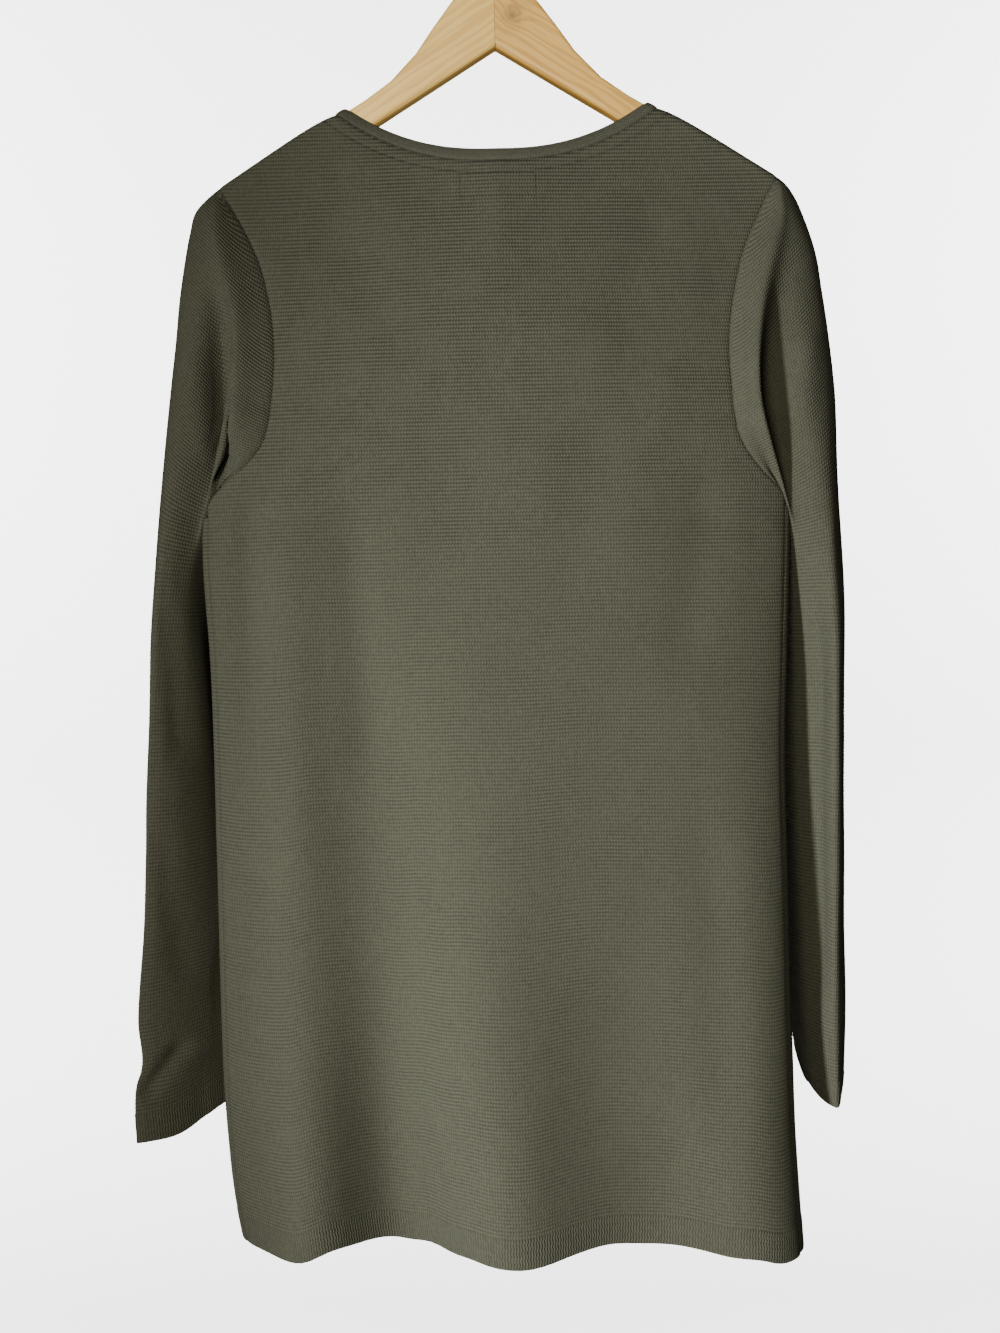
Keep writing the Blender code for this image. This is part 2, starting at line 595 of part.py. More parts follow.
def sheet_normals(points, open_rows):
    """The directions square to a grid of points, the same on both edges where it is closed."""
    across = np.gradient(points, axis=1)
    closed = points[open_rows:, 1] - points[open_rows:, -2]
    across[open_rows:, 0] = closed
    across[open_rows:, -1] = closed
    down = np.gradient(points, axis=0)
    normals = np.cross(across, down)
    joined = normals[open_rows:, 0] + normals[open_rows:, -1]
    normals[open_rows:, 0] = joined
    normals[open_rows:, -1] = joined
    return normals / np.linalg.norm(normals, axis=-1, keepdims=True)


def neck_place(across, width, front):
    """The turn and height of a point of the neck's edge, at a width inside the seam.

    Across goes from -1 where the neck meets the right shoulder to 1 at the left one.
    """
    start = SHOULDER_START - width / math.hypot(1, SHOULDER_SLOPE)
    ridge = float(shoulder_line(start))
    drop = NECK_FRONT_DROP if front else NECK_BACK_DROP
    power = NECK_FRONT_POWER if front else NECK_BACK_POWER
    middle = SHOULDER_HEIGHT - drop + width
    height = ridge - (ridge - middle) * (1 - abs(across) ** power)
    turn = float(side_turn(start * across, np.array(height), across > 0))
    if front:
        turn = math.copysign(math.pi, across) - turn
    return turn, height


def neck_band(back, left, right):
    """The outer points and outward directions of the band, from the panels' own neck columns."""
    places = [(x / SHOULDER_START, True) for x in right]
    places.append((-1.0, True))
    places.extend((x / SHOULDER_START, False) for x in back)
    places.append((1.0, True))
    places.extend((x / SHOULDER_START, True) for x in left[::-1])
    points, normals = [], []
    for stop in BAND_STOPS:
        width = NECK_SEAM + (NECK_BAND_WIDTH - NECK_SEAM) * stop
        for across, front in places:
            turn, height = neck_place(across, width, front)
            point = body_point(turn, height)
            normal = body_normal(turn, height)
            if abs(across) == 1.0:
                point[1] = 0
                normal = ridge_normal(math.copysign(SHOULDER_START, across))
            points.append(point)
            normals.append(normal)
    shape = (len(BAND_STOPS), len(places), 3)
    return np.array(points).reshape(shape), np.array(normals).reshape(shape)


def neck_columns(points):
    """The distances from the middle at which a panel's columns meet the neck, without corners."""
    top = points[-1, :, 0]
    return top[np.abs(top) < SHOULDER_START - CORNER_REACH]


def material_of(name, colour, roughness, metallic=0.0):
    """A plain finish of one colour."""
    material = bpy.data.materials.new(name)
    material.use_nodes = True
    shader = material.node_tree.nodes["Principled BSDF"]
    shader.inputs["Base Color"].default_value = colour
    shader.inputs["Roughness"].default_value = roughness
    shader.inputs["Metallic"].default_value = metallic
    return material


def link_object(name, mesh, material):
    """Put a mesh in the scene under its own name, shaded smooth but for its sharp edges."""
    mesh.shade_smooth()
    mesh.set_sharp_from_angle(angle=SMOOTH_ANGLE)
    made = bpy.data.objects.new(name, mesh)
    made.data.materials.append(material)
    bpy.context.scene.collection.objects.link(made)
    return made


def cloth_wall(name, points, normals, colour, open_rows=None):
    """Build a closed wall of cloth from its outer face, with its thickness laid inwards."""
    rows, columns = points.shape[:2]
    inner_points = points - normals * WALL
    shape = bmesh.new()
    outer = [[shape.verts.new(point) for point in row] for row in points]
    inner = [[shape.verts.new(point) for point in row] for row in inner_points]
    for row in range(rows - 1):
        for column in range(columns - 1):
            for layer in (outer, inner):
                shape.faces.new((
                    layer[row][column], layer[row][column + 1],
                    layer[row + 1][column + 1], layer[row + 1][column],
                ))
    for row in (0, rows - 1):
        for column in range(columns - 1):
            shape.faces.new((
                outer[row][column], outer[row][column + 1],
                inner[row][column + 1], inner[row][column],
            ))
    for column in (0, columns - 1):
        for row in range((rows - 1) if open_rows is None else open_rows):
            shape.faces.new((
                outer[row][column], outer[row + 1][column],
                inner[row + 1][column], inner[row][column],
            ))
    if open_rows is not None:
        bmesh.ops.remove_doubles(shape, verts=shape.verts, dist=MERGE_REACH)
    bmesh.ops.recalc_face_normals(shape, faces=shape.faces)
    mesh = bpy.data.meshes.new(name)
    shape.to_mesh(mesh)
    shape.free()
    return link_object(name, mesh, material_of(name, colour, KNIT_ROUGHNESS))


def hanger_outline():
    """The side outline of the wooden arm on +X, round from the top of the joint."""
    covered = [(x, float(shoulder_line(x)) - HANGER_UNDER_CLOTH) for x in HANGER_COVERED_X]
    last_x = HANGER_END[-1][0] - HANGER_END_LENGTH
    joint_x = HANGER_JOINT_GAP / 2
    bottom = [(x, HANGER_BOTTOM_MIDDLE - HANGER_BOTTOM_SLOPE * x) for x in (last_x, joint_x)]
    return list(HANGER_TOP) + covered + list(HANGER_END) + bottom


def hanger_arm(name, side):
    """Extrude the arm's outline through its thickness and round its long edges."""
    shape = bmesh.new()
    corners = [
        shape.verts.new((side * x, -HANGER_HALF_THICKNESS, z)) for x, z in hanger_outline()
    ]
    face = shape.faces.new(corners)
    made = bmesh.ops.extrude_face_region(shape, geom=[face])
    moved = [item for item in made["geom"] if isinstance(item, bmesh.types.BMVert)]
    bmesh.ops.translate(shape, verts=moved, vec=(0, 2 * HANGER_HALF_THICKNESS, 0))
    bmesh.ops.recalc_face_normals(shape, faces=shape.faces)
    rims = [
        edge for edge in shape.edges
        if abs(edge.verts[0].co.y - edge.verts[1].co.y) < STEP
        and max(abs(vert.co.x) for vert in edge.verts) > HANGER_JOINT_GAP
    ]
    bmesh.ops.bevel(
        shape, geom=rims, offset=HANGER_EDGE_ROUND, offset_type="OFFSET",
        segments=HANGER_EDGE_SEGMENTS, profile=0.5, affect="EDGES", clamp_overlap=True,
    )
    mesh = bpy.data.meshes.new(name)
    shape.to_mesh(mesh)
    shape.free()
    return link_object(name, mesh, material_of(name, WOOD_COLOUR, WOOD_ROUGHNESS))


def hook():
    """The bent wire hook with the wider collar at its foot."""
    reach = HOOK_INNER_RADIUS + HOOK_WIRE_RADIUS
    foot = HANGER_TOP[0][1] + HOOK_FOOT_GAP
    collar_top = foot + HOOK_COLLAR_HEIGHT
    path = [
        (0.0, foot, HOOK_COLLAR_SCALE), (0.0, collar_top, HOOK_COLLAR_SCALE),
        (0.0, collar_top + HOOK_COLLAR_ROUND, 1.0), (0.0, HOOK_SHANK_TOP, 1.0),
    ]
    start = (
        reach * math.cos(HOOK_START_TURN),
        -HOOK_INNER_RADIUS + reach * math.sin(HOOK_START_TURN),
    )
    for share in HOOK_BEND_STOPS:
        bent = float(ease(share))
        path.append((start[0] * bent, HOOK_SHANK_TOP + (start[1] - HOOK_SHANK_TOP) * share, 1.0))
    for step in range(HOOK_ARC_POINTS + 1):
        angle = HOOK_START_TURN + (HOOK_END_TURN - HOOK_START_TURN) * step / HOOK_ARC_POINTS
        path.append((reach * math.cos(angle), -HOOK_INNER_RADIUS + reach * math.sin(angle), 1.0))
    wire = bpy.data.curves.new("hanger_hook", "CURVE")
    wire.dimensions = "3D"
    wire.bevel_depth = HOOK_WIRE_RADIUS
    wire.bevel_resolution = 2
    wire.use_fill_caps = True
    spline = wire.splines.new("POLY")
    spline.points.add(len(path) - 1)
    for point, (x, z, scale) in zip(spline.points, path):
        point.co = (x, 0.0, z, 1.0)
        point.radius = scale
    made = bpy.data.objects.new("hanger_hook", wire)
    wire.materials.append(material_of("hanger_hook", METAL_COLOUR, METAL_ROUGHNESS, 1.0))
    bpy.context.scene.collection.objects.link(made)
    return made


def main():
    """Clear the scene and build every piece."""
    for found in list(bpy.data.objects):
        bpy.data.objects.remove(found)
    back_shares = np.concatenate([-column_shares(False, False)[:0:-1], column_shares(True, False)])
    points, normals = panel(back_shares, back_turn, False)
    necks = {"back_panel": neck_columns(points)}
    cloth_wall("back_panel", pull_edges(points, True, True), normals, KNIT_COLOUR)
    for name, left in (("front_left", True), ("front_right", False)):
        points, normals = panel(
            column_shares(left, True), lambda share, height: front_turn(share, height, left), True
        )
        necks[name] = neck_columns(points)
        cloth_wall(name, pull_edges(points, False, True), normals, KNIT_COLOUR)
    for name, left in (("sleeve_left", True), ("sleeve_right", False)):
        points, normals, open_rows = sleeve(left)
        cloth_wall(name, points, normals, KNIT_COLOUR, open_rows)
    points, normals = neck_band(necks["back_panel"], necks["front_left"], necks["front_right"])
    cloth_wall("neck_band", points, normals, BAND_COLOUR)
    hanger_arm("hanger_arm_left", 1)
    hanger_arm("hanger_arm_right", -1)
    hook()


main()
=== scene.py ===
"""The look of a long knitted cardigan on a flat wooden hanger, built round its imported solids.

The back of the cardigan faces +Y and is what the camera sees. Each piece of cloth is a thin
closed wall over the same surface as its solid, with the ridges of the knit, the seams and the
softer creases raised on it. All lengths are in metres.
"""

import logging
import math
from dataclasses import dataclass, field
from enum import Enum
from typing import Sequence

import bmesh
import bpy
import numpy as np
from mathutils import Matrix, Vector


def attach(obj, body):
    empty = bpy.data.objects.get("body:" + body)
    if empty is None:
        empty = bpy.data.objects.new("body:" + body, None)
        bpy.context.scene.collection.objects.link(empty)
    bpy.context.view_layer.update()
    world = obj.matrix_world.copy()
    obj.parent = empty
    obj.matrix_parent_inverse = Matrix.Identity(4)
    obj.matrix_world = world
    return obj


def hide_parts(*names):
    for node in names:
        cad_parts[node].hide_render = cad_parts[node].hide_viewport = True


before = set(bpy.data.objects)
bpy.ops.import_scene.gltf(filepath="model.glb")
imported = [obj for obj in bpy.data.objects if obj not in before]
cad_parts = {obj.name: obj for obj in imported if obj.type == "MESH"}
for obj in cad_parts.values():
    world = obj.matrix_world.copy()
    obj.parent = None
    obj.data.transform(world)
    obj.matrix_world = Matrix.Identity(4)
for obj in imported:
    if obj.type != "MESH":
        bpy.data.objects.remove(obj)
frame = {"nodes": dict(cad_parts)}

LOG = logging.getLogger("cardigan")
Array = np.ndarray

# The inside of the cloth keeps every eighth row of the grid
ROWS_INSIDE = 8
# Distances in metres that count as nowhere near a seam, and as nowhere near the wood
NO_SEAM = 1.0
FAR_OFF = 9.0


class Side(Enum):
    """A side of the wearer, with its sign along X."""

    LEFT = 1
    RIGHT = -1

    @property
    def key(self) -> str:
        """The name of the side's own column in the tables."""
        return self.name.lower()


class Face(Enum):
    """The back or the front half of the body."""

    BACK = 1
    FRONT = -1


def read_between(values: Array, slopes: Array, cell: Array, share: Array,
                 length: Array | float = 1.0) -> Array:
    """Read a smooth curve between its points.

    Args:
        values: the curve's points.
        slopes: its slopes there.
        cell: the number of the point before each place.
        share: how far each place is from that point to the next one, from 0 to 1.
        length: the distance between those two points.

    Returns:
        The curve at each place.
    """
    start = (1 + 2 * share) * (1 - share) ** 2 * values[cell]
    end = share**2 * (3 - 2 * share) * values[cell + 1]
    lean = share * (1 - share) ** 2 * slopes[cell] - share**2 * (1 - share) * slopes[cell + 1]
    return start + end + length * lean


@dataclass(frozen=True)
class Table:
    """A short table with named columns, read on a smooth curve through its rows."""

    columns: tuple[str, ...]
    rows: tuple[tuple[float, ...], ...]

    def read(self, height: Array) -> dict[str, Array]:
        """Read every column at some heights.

        Args:
            height: the heights, in the table's first column.

        Returns:
            The values of each other column, by its name.
        """
        table = np.array(sorted(self.rows))
        heights = table[:, 0]
        place = np.clip(height, heights[0], heights[-1])
        cell = np.clip(np.searchsorted(heights, place, side="right") - 1, 0, len(heights) - 2)
        length = heights[cell + 1] - heights[cell]
        share = (place - heights[cell]) / length
        return {
            name: read_between(values, np.gradient(values, heights), cell, share, length)
            for name, values in zip(self.columns[1:], table[:, 1:].T)
        }


BODY = Table(
    ("height", "left", "right", "back", "front", "left_y", "right_y"),
    (
        (-0.968, 0.2060, 0.2040, 0.046, 0.044, -0.012, 0.016),
        (-0.930, 0.2115, 0.2020, 0.045, 0.043, -0.010, 0.014),
        (-0.880, 0.2150, 0.2000, 0.043, 0.041, -0.008, 0.011),
        (-0.800, 0.2159, 0.1988, 0.040, 0.038, -0.005, 0.008),
        (-0.700, 0.2151, 0.1984, 0.037, 0.035, -0.003, 0.005),
        (-0.600, 0.2141, 0.1979, 0.034, 0.032, -0.001, 0.003),
        (-0.530, 0.2143, 0.2005, 0.032, 0.030, 0.0, 0.002),
        (-0.460, 0.2172, 0.2034, 0.030, 0.028, 0.0, 0.0),
        (-0.425, 0.2165, 0.2045, 0.029, 0.027, 0.0, 0.0),
        (-0.330, 0.2160, 0.2060, 0.027, 0.025, 0.0, 0.0),
        (-0.150, 0.2160, 0.2080, 0.022, 0.020, 0.0, 0.0),
    ),
)
ARMHOLE = Table(
    ("height", "left", "right"),
    (
        (-0.4250, 0.2128, 0.2012), (-0.4163, 0.2065, 0.1925), (-0.4080, 0.1975, 0.1835),
        (-0.3943, 0.1800, 0.1720), (-0.3838, 0.1705, 0.1660), (-0.3674, 0.1643, 0.1620),
        (-0.3495, 0.1614, 0.1603), (-0.3129, 0.1589, 0.1592), (-0.2942, 0.1600, 0.1612),
        (-0.2757, 0.1630, 0.1645), (-0.2605, 0.1665, 0.1682), (-0.2447, 0.1722, 0.1735),
        (-0.2288, 0.1797, 0.1810), (-0.2120, 0.1890, 0.1890), (-0.2001, 0.1965, 0.1965),
    ),
)
CAP_COLUMNS = (
    "height", "lip_x", "lip_y", "fold_x", "fold_y", "face_x", "face_y", "outer_x", "outer_y",
)
CAPS = {
    Side.LEFT: Table(
        CAP_COLUMNS,
        (
            (-0.4235, 0.2168, 0.004, 0.2172, 0.002, 0.2370, 0.013, 0.2508, -0.004),
            (-0.4030, 0.2045, 0.021, 0.2010, 0.000, 0.2290, 0.013, 0.2482, -0.004),
            (-0.3740, 0.1972, 0.0285, 0.1900, 0.000, 0.2220, 0.013, 0.2436, -0.003),
            (-0.3400, 0.1915, 0.0285, 0.1875, 0.004, 0.2170, 0.014, 0.2378, -0.002),
            (-0.3050, 0.1880, 0.0280, 0.1945, 0.013, 0.2130, 0.015, 0.2320, -0.001),
            (-0.2750, 0.1895, 0.0255, 0.1985, 0.018, 0.2110, 0.016, 0.2280, 0.0),
            (-0.2500, 0.1935, 0.0220, 0.2010, 0.018, 0.2100, 0.016, 0.2232, 0.0),
            (-0.2299, 0.1965, 0.018, 0.2020, 0.016, 0.2080, 0.013, 0.2182, 0.0),
            (-0.2168, 0.1960, 0.014, 0.2010, 0.013, 0.2060, 0.011, 0.2138, 0.0),
            (-0.2079, 0.1975, 0.009, 0.1995, 0.0085, 0.2015, 0.008, 0.2062, 0.0),
            (-0.1998, 0.1972, 0.002, 0.1974, 0.0015, 0.1976, 0.001, 0.1978, 0.0),
        ),
    ),
    Side.RIGHT: Table(
        CAP_COLUMNS,
        (
            (-0.4235, 0.2048, 0.004, 0.2052, 0.002, 0.2270, 0.010, 0.2430, -0.012),
            (-0.4063, 0.1930, 0.020, 0.1950, 0.001, 0.2200, 0.012, 0.2429, -0.010),
            (-0.3800, 0.1830, 0.030, 0.1850, 0.000, 0.2150, 0.014, 0.2422, -0.008),
            (-0.3540, 0.1790, 0.033, 0.1810, 0.003, 0.2110, 0.015, 0.2403, -0.006),
            (-0.3120, 0.1795, 0.032, 0.1870, 0.013, 0.2090, 0.016, 0.2346, -0.004),
            (-0.2800, 0.1835, 0.028, 0.1930, 0.018, 0.2090, 0.017, 0.2293, -0.002),
            (-0.2525, 0.1900, 0.024, 0.1985, 0.019, 0.2100, 0.017, 0.2240, 0.0),
            (-0.2295, 0.1965, 0.018, 0.2010, 0.016, 0.2060, 0.014, 0.2156, 0.0),
            (-0.2151, 0.1965, 0.014, 0.1995, 0.013, 0.2030, 0.011, 0.2088, 0.0),
            (-0.2060, 0.1975, 0.009, 0.1982, 0.0085, 0.1998, 0.008, 0.2030, 0.0),
            (-0.1998, 0.1972, 0.002, 0.1974, 0.0015, 0.1976, 0.001, 0.1978, 0.0),
        ),
    ),
}
TUBE_COLUMNS = ("height", "outer", "y", "half_width", "half_thickness", "turn", "dip")
TUBES = {
    Side.LEFT: Table(
        TUBE_COLUMNS,
        (
            (-0.8760, 0.2812, -0.033, 0.0480, 0.0110, 40.0, 0.0110),
            (-0.8480, 0.2815, -0.033, 0.0482, 0.0120, 40.5, 0.0100),
            (-0.8360, 0.2800, -0.033, 0.0484, 0.0125, 41.0, 0.0090),
            (-0.8270, 0.2765, -0.034, 0.0486, 0.0130, 42.0, 0.0080),
            (-0.7900, 0.2772, -0.035, 0.0495, 0.0140, 44.0, 0.0060),
            (-0.7100, 0.2695, -0.038, 0.0520, 0.0160, 50.0, 0.0030),
            (-0.6300, 0.2652, -0.040, 0.0545, 0.0185, 56.0, 0.0),
            (-0.5300, 0.2590, -0.039, 0.0550, 0.0205, 65.0, 0.0),
            (-0.4650, 0.2545, -0.029, 0.0465, 0.0195, 74.0, 0.0),
            (-0.4330, 0.2522, -0.019, 0.0370, 0.0193, 76.0, 0.0),
        ),
    ),
    Side.RIGHT: Table(
        TUBE_COLUMNS,
        (
            (-0.8715, 0.2440, -0.047, 0.0470, 0.0090, 90.0, 0.0),
            (-0.8575, 0.2465, -0.046, 0.0472, 0.0125, 89.0, 0.0),
            (-0.8362, 0.2470, -0.045, 0.0478, 0.0145, 88.0, 0.0),
            (-0.7900, 0.2473, -0.043, 0.0495, 0.0180, 86.0, 0.0),
            (-0.7100, 0.2465, -0.042, 0.0520, 0.0195, 84.0, 0.0),
            (-0.6000, 0.2460, -0.042, 0.0550, 0.0205, 82.0, 0.0),
            (-0.5100, 0.2455, -0.037, 0.0535, 0.0215, 81.0, 0.0),
            (-0.4600, 0.2450, -0.028, 0.0460, 0.0220, 80.0, 0.0),
            (-0.4330, 0.2452, -0.019, 0.0370, 0.0210, 80.0, 0.0),
        ),
    ),
}
HEM = Table(
    ("x", "lift"),
    (
        (-0.204, -0.0110), (-0.184, -0.0055), (-0.170, 0.0007), (-0.143, 0.0025), (-0.115, 0.0045),
        (-0.085, 0.0062), (-0.062, 0.0090), (-0.040, 0.0090), (-0.010, 0.0072), (0.020, 0.0075),
        (0.034, 0.0072), (0.048, 0.0035), (0.062, 0.0015), (0.080, -0.0034), (0.095, -0.0012),
        (0.115, 0.0030), (0.135, 0.0060), (0.156, -0.0015), (0.180, -0.0085), (0.206, -0.0110),
    ),
)


@dataclass(frozen=True)
class Fold:
    """A soft fold down the body, from a height where it begins to the hem.

    A positive depth stands out from its own face, and a negative one is a trough.
    """

    hem_x: float
    top_x: float
    top: float
    width: float
    depth: float
    growth: float
    slack: float = 0.25

    def offset(self, x: Array, height: Array, hem: float) -> Array:
        """Work out how far the fold pushes the cloth out.

        Args:
            x: distances from the middle.
            height: heights of the same places.
            hem: height of the hem.

        Returns:
            The offset at each place.
        """
        grown = np.clip((self.top - height) / (self.top - hem), 0, 1)
        middle = self.top_x + (self.hem_x - self.top_x) * grown
        spread = self.width * (1 + self.slack * (1 - grown))
        return self.depth * grown**self.growth * np.exp(-0.5 * ((x - middle) / spread) ** 2)


FOLDS = {
    Face.BACK: (
        Fold(0.149, 0.158, -0.34, 0.024, 0.011, 1.0),
        Fold(0.184, 0.186, -0.40, 0.014, -0.007, 0.8),
        Fold(0.086, 0.118, -0.33, 0.030, -0.036, 1.6),
        Fold(0.004, 0.030, -0.45, 0.034, 0.018, 1.7),
        Fold(-0.098, -0.040, -0.50, 0.046, -0.011, 1.4),
        Fold(-0.172, -0.165, -0.45, 0.030, 0.017, 1.5),
    ),
    Face.FRONT: (
        Fold(0.165, 0.150, -0.36, 0.026, 0.010, 1.2),
        Fold(0.112, 0.095, -0.34, 0.028, -0.022, 1.5),
        Fold(0.052, 0.045, -0.42, 0.026, 0.015, 1.6),
        Fold(-0.046, -0.030, -0.40, 0.027, 0.012, 1.5),
        Fold(-0.100, -0.085, -0.36, 0.030, -0.020, 1.6),
        Fold(-0.158, -0.150, -0.38, 0.026, 0.012, 1.3),
    ),
}


@dataclass(frozen=True)
class Crease:
    """A soft crease laid along a line on one face of the cloth, seen from behind or in front."""

    start: tuple[float, float]
    end: tuple[float, float]
    width: float
    depth: float
    face: Face = Face.BACK
    fade: float = 0.25

    def offset(self, x: Array, height: Array, facing: Array) -> Array:
        """Work out how far the crease lifts or sinks the cloth.

        Args:
            x: signed distances from the middle.
            height: heights of the same places.
            facing: how far each place faces the crease's own side, from 0 to 1.

        Returns:
            The offset at each place, fading out at both ends.
        """
        start, end = np.array(self.start), np.array(self.end)
        along = end - start
        length = float(np.linalg.norm(along))
        place = np.stack([x - start[0], height - start[1]], axis=-1) @ along / length**2
        aside = ((x - start[0]) * along[1] - (height - start[1]) * along[0]) / length
        ends = ease(place / self.fade) * ease((1 - place) / self.fade)
        return self.depth * ends * np.exp(-0.5 * (aside / self.width) ** 2) * facing


def ease(value: Array) -> Array:
    """Rise smoothly from 0 to 1.

    Args:
        value: where the rise is, from 0 at its start to 1 at its end.

    Returns:
        The height of the rise.
    """
    share = np.clip(value, 0.0, 1.0)
    return share * share * (3 - 2 * share)


def unit(vectors: Array) -> Array:
    """Scale vectors to a length of one.

    Args:
        vectors: an array whose last axis is a vector.

    Returns:
        The same directions with length one.
    """
    return vectors / np.maximum(np.linalg.norm(vectors, axis=-1, keepdims=True), 1e-12)


@dataclass(frozen=True)
class BodyForm:
    """The surface that the back and the fronts share, with its shoulders, neck and armholes."""

    wall: float = 0.002
    seam: float = 0.00015
    neck_seam: float = 0.0002
    step: float = 1e-4
    shoulder_start: float = 0.1135
    shoulder_height: float = -0.1515
    shoulder_slope: float = 0.636
    shoulder_round: float = 0.0088
    squareness: float = 3.0
    settle: float = 0.20
    ease_depth: float = 0.0042
    ease_length: float = 0.012
    flat_end: float = -0.21
    flat_fade: float = 0.15
    section_power: float = 0.75
    side_power: float = 3
    fold_power: float = 0.5
    neck_drops: tuple[float, float] = (0.0367, 0.104)
    neck_powers: tuple[float, float] = (2.3, 2.2)
    band_width: float = 0.0078
    armpit: float = -0.4250
    crotch: float = -0.4264
    relief: float = -0.4315
    armpit_round: float = 0.008
    side_turn_angle: float = math.radians(77)
    front_edge_top: float = 0.0035
    front_edge_hem: float = 0.0085
    yoke: float = 0.030
    hem_rise: float = 0.008
    hem_lift_share: float = 0.16
    hem_side_lift: float = 0.012
    hem_half_width: float = 0.206
    hem_side_power: float = 8
    creases: tuple[Crease, ...] = (
        Crease((0.180, -0.395), (0.184, -0.600), 0.0075, -0.0030),
        Crease((0.110, -0.395), (0.097, -0.640), 0.0100, -0.0026),
        Crease((0.148, -0.380), (0.154, -0.720), 0.0120, 0.0020),
        Crease((-0.145, -0.400), (-0.120, -0.560), 0.0120, -0.0022),
        Crease((-0.060, -0.350), (-0.045, -0.520), 0.0160, -0.0014),
        Crease((0.040, -0.330), (0.050, -0.500), 0.0180, -0.0012),
        Crease((-0.135, -0.620), (-0.150, -0.900), 0.0130, -0.0026),
        Crease((0.120, -0.215), (0.060, -0.330), 0.0120, -0.0010),
        Crease((-0.120, -0.215), (-0.070, -0.320), 0.0120, -0.0010),
        Crease((0.150, -0.430), (0.130, -0.600), 0.0100, -0.0022, Face.FRONT),
        Crease((-0.150, -0.430), (-0.140, -0.640), 0.0110, -0.0022, Face.FRONT),
        Crease((0.075, -0.300), (0.065, -0.480), 0.0140, -0.0016, Face.FRONT),
        Crease((-0.080, -0.300), (-0.062, -0.500), 0.0140, -0.0016, Face.FRONT),
        Crease((0.110, -0.225), (0.060, -0.300), 0.0110, -0.0012, Face.FRONT),
        Crease((-0.110, -0.225), (-0.060, -0.310), 0.0110, -0.0012, Face.FRONT),
    )

    def hem(self) -> float:
        """Return the lowest height of the body's table."""
        return BODY.rows[0][0]

    def ridge(self, x: Array) -> Array:
        """Height of the shoulder seam at a distance from the middle."""
        out = np.abs(x) - self.shoulder_start
        fall = self.ease_depth * (1 - np.exp(-np.clip(out, 0, 1) / self.ease_length))
        return self.shoulder_height - self.shoulder_slope * out + fall

    def neck(self, face: Face) -> tuple[float, float]:
        """How far the neck's edge drops in the middle of a face, and the power of its curve."""
        index = 0 if face is Face.BACK else 1
        return self.neck_drops[index], self.neck_powers[index]

    def top(self, x: Array, face: Face) -> Array:
        """Height of a panel's top edge: the neck in the middle, then the shoulder."""
        drop, power = self.neck(face)
        share = np.clip(np.abs(x) / self.shoulder_start, 0, 1)
        neck = self.shoulder_height - drop * (1 - share**power)
        return np.where(np.abs(x) < self.shoulder_start, neck, self.ridge(x))

    def fold_offset(self, face: Face, x: Array, height: Array) -> Array:
        """How far all folds of one face push the cloth out."""
        return sum(fold.offset(x, height, self.hem()) for fold in FOLDS[face])

    def point(self, turn: Array, height: Array) -> Array:
        """Find points of the outer face.

        Args:
            turn: the way round, from 0 at the centre back through a quarter turn at the left
                side to half a turn at the centre front, and negative on the right.
            height: heights of the same points.

        Returns:
            The points.
        """
        turn, height = np.broadcast_arrays(np.asarray(turn, float), np.asarray(height, float))
        row = BODY.read(height)
        across, facing = np.sin(turn), np.cos(turn)
        x = across * np.where(across > 0, row["left"], row["right"])
        side_y = np.where(across > 0, row["left_y"], row["right_y"]) * np.abs(across) ** self.side_power
        roundness = np.abs(facing) ** self.section_power
        level = 1 + (roundness - 1) * ease((self.flat_end - height) / self.flat_fade)
        below = np.clip(self.ridge(x) - height, 0, None)
        turned = 1 - (1 - np.clip(below / self.shoulder_round, 0, 1)) ** self.squareness
        rise = turned ** (1 / self.squareness)
        settled = ease((below - self.shoulder_round) / self.settle)
        depth = np.where(facing > 0, row["back"], row["front"])
        reach = (self.shoulder_round * rise + (depth - self.shoulder_round) * settled) * level
        soft = roundness**self.fold_power
        back = self.fold_offset(Face.BACK, x, height) * soft
        front = self.fold_offset(Face.FRONT, x, height) * soft
        y = np.where(facing > 0, reach + back, -reach - front) + side_y
        return np.stack([x, y, height], axis=-1)

    def normal(self, turn: Array, height: Array) -> Array:
        """Outward directions of the face at the same places."""
        around = self.point(turn + self.step, height) - self.point(turn - self.step, height)
        upward = self.point(turn, height + self.step) - self.point(turn, height - self.step)
        return unit(np.cross(upward, around))

    def ridge_normal(self, x: Array) -> Array:
        """Outward directions at the top of the shoulder, square to its seam."""
        rise = self.ridge(x + self.step) - self.ridge(x - self.step)
        return unit(np.stack([-rise, 0 * rise, 2 * self.step + 0 * rise], axis=-1))

    def turn_at(self, x: Array, height: Array, side: Side) -> Array:
        """The turn at which the back half reaches a distance from the middle."""
        reach = BODY.read(height)[side.key]
        return np.arcsin(np.clip(x / reach, -1, 1))

    def armhole_turn(self, height: Array, side: Side, face: Face) -> Array:
        """The turn of a panel's outer edge: the armhole, and the side seam below it."""
        hole = ARMHOLE.read(height)[side.key]
        turn = self.turn_at(hole, height, side)
        seam = self.side_turn_angle
        if face is Face.BACK:
            return np.where(height > self.armpit, np.minimum(turn, seam), seam)
        return seam + (math.pi - turn - seam) * ease((height - self.relief) / self.armpit_round)

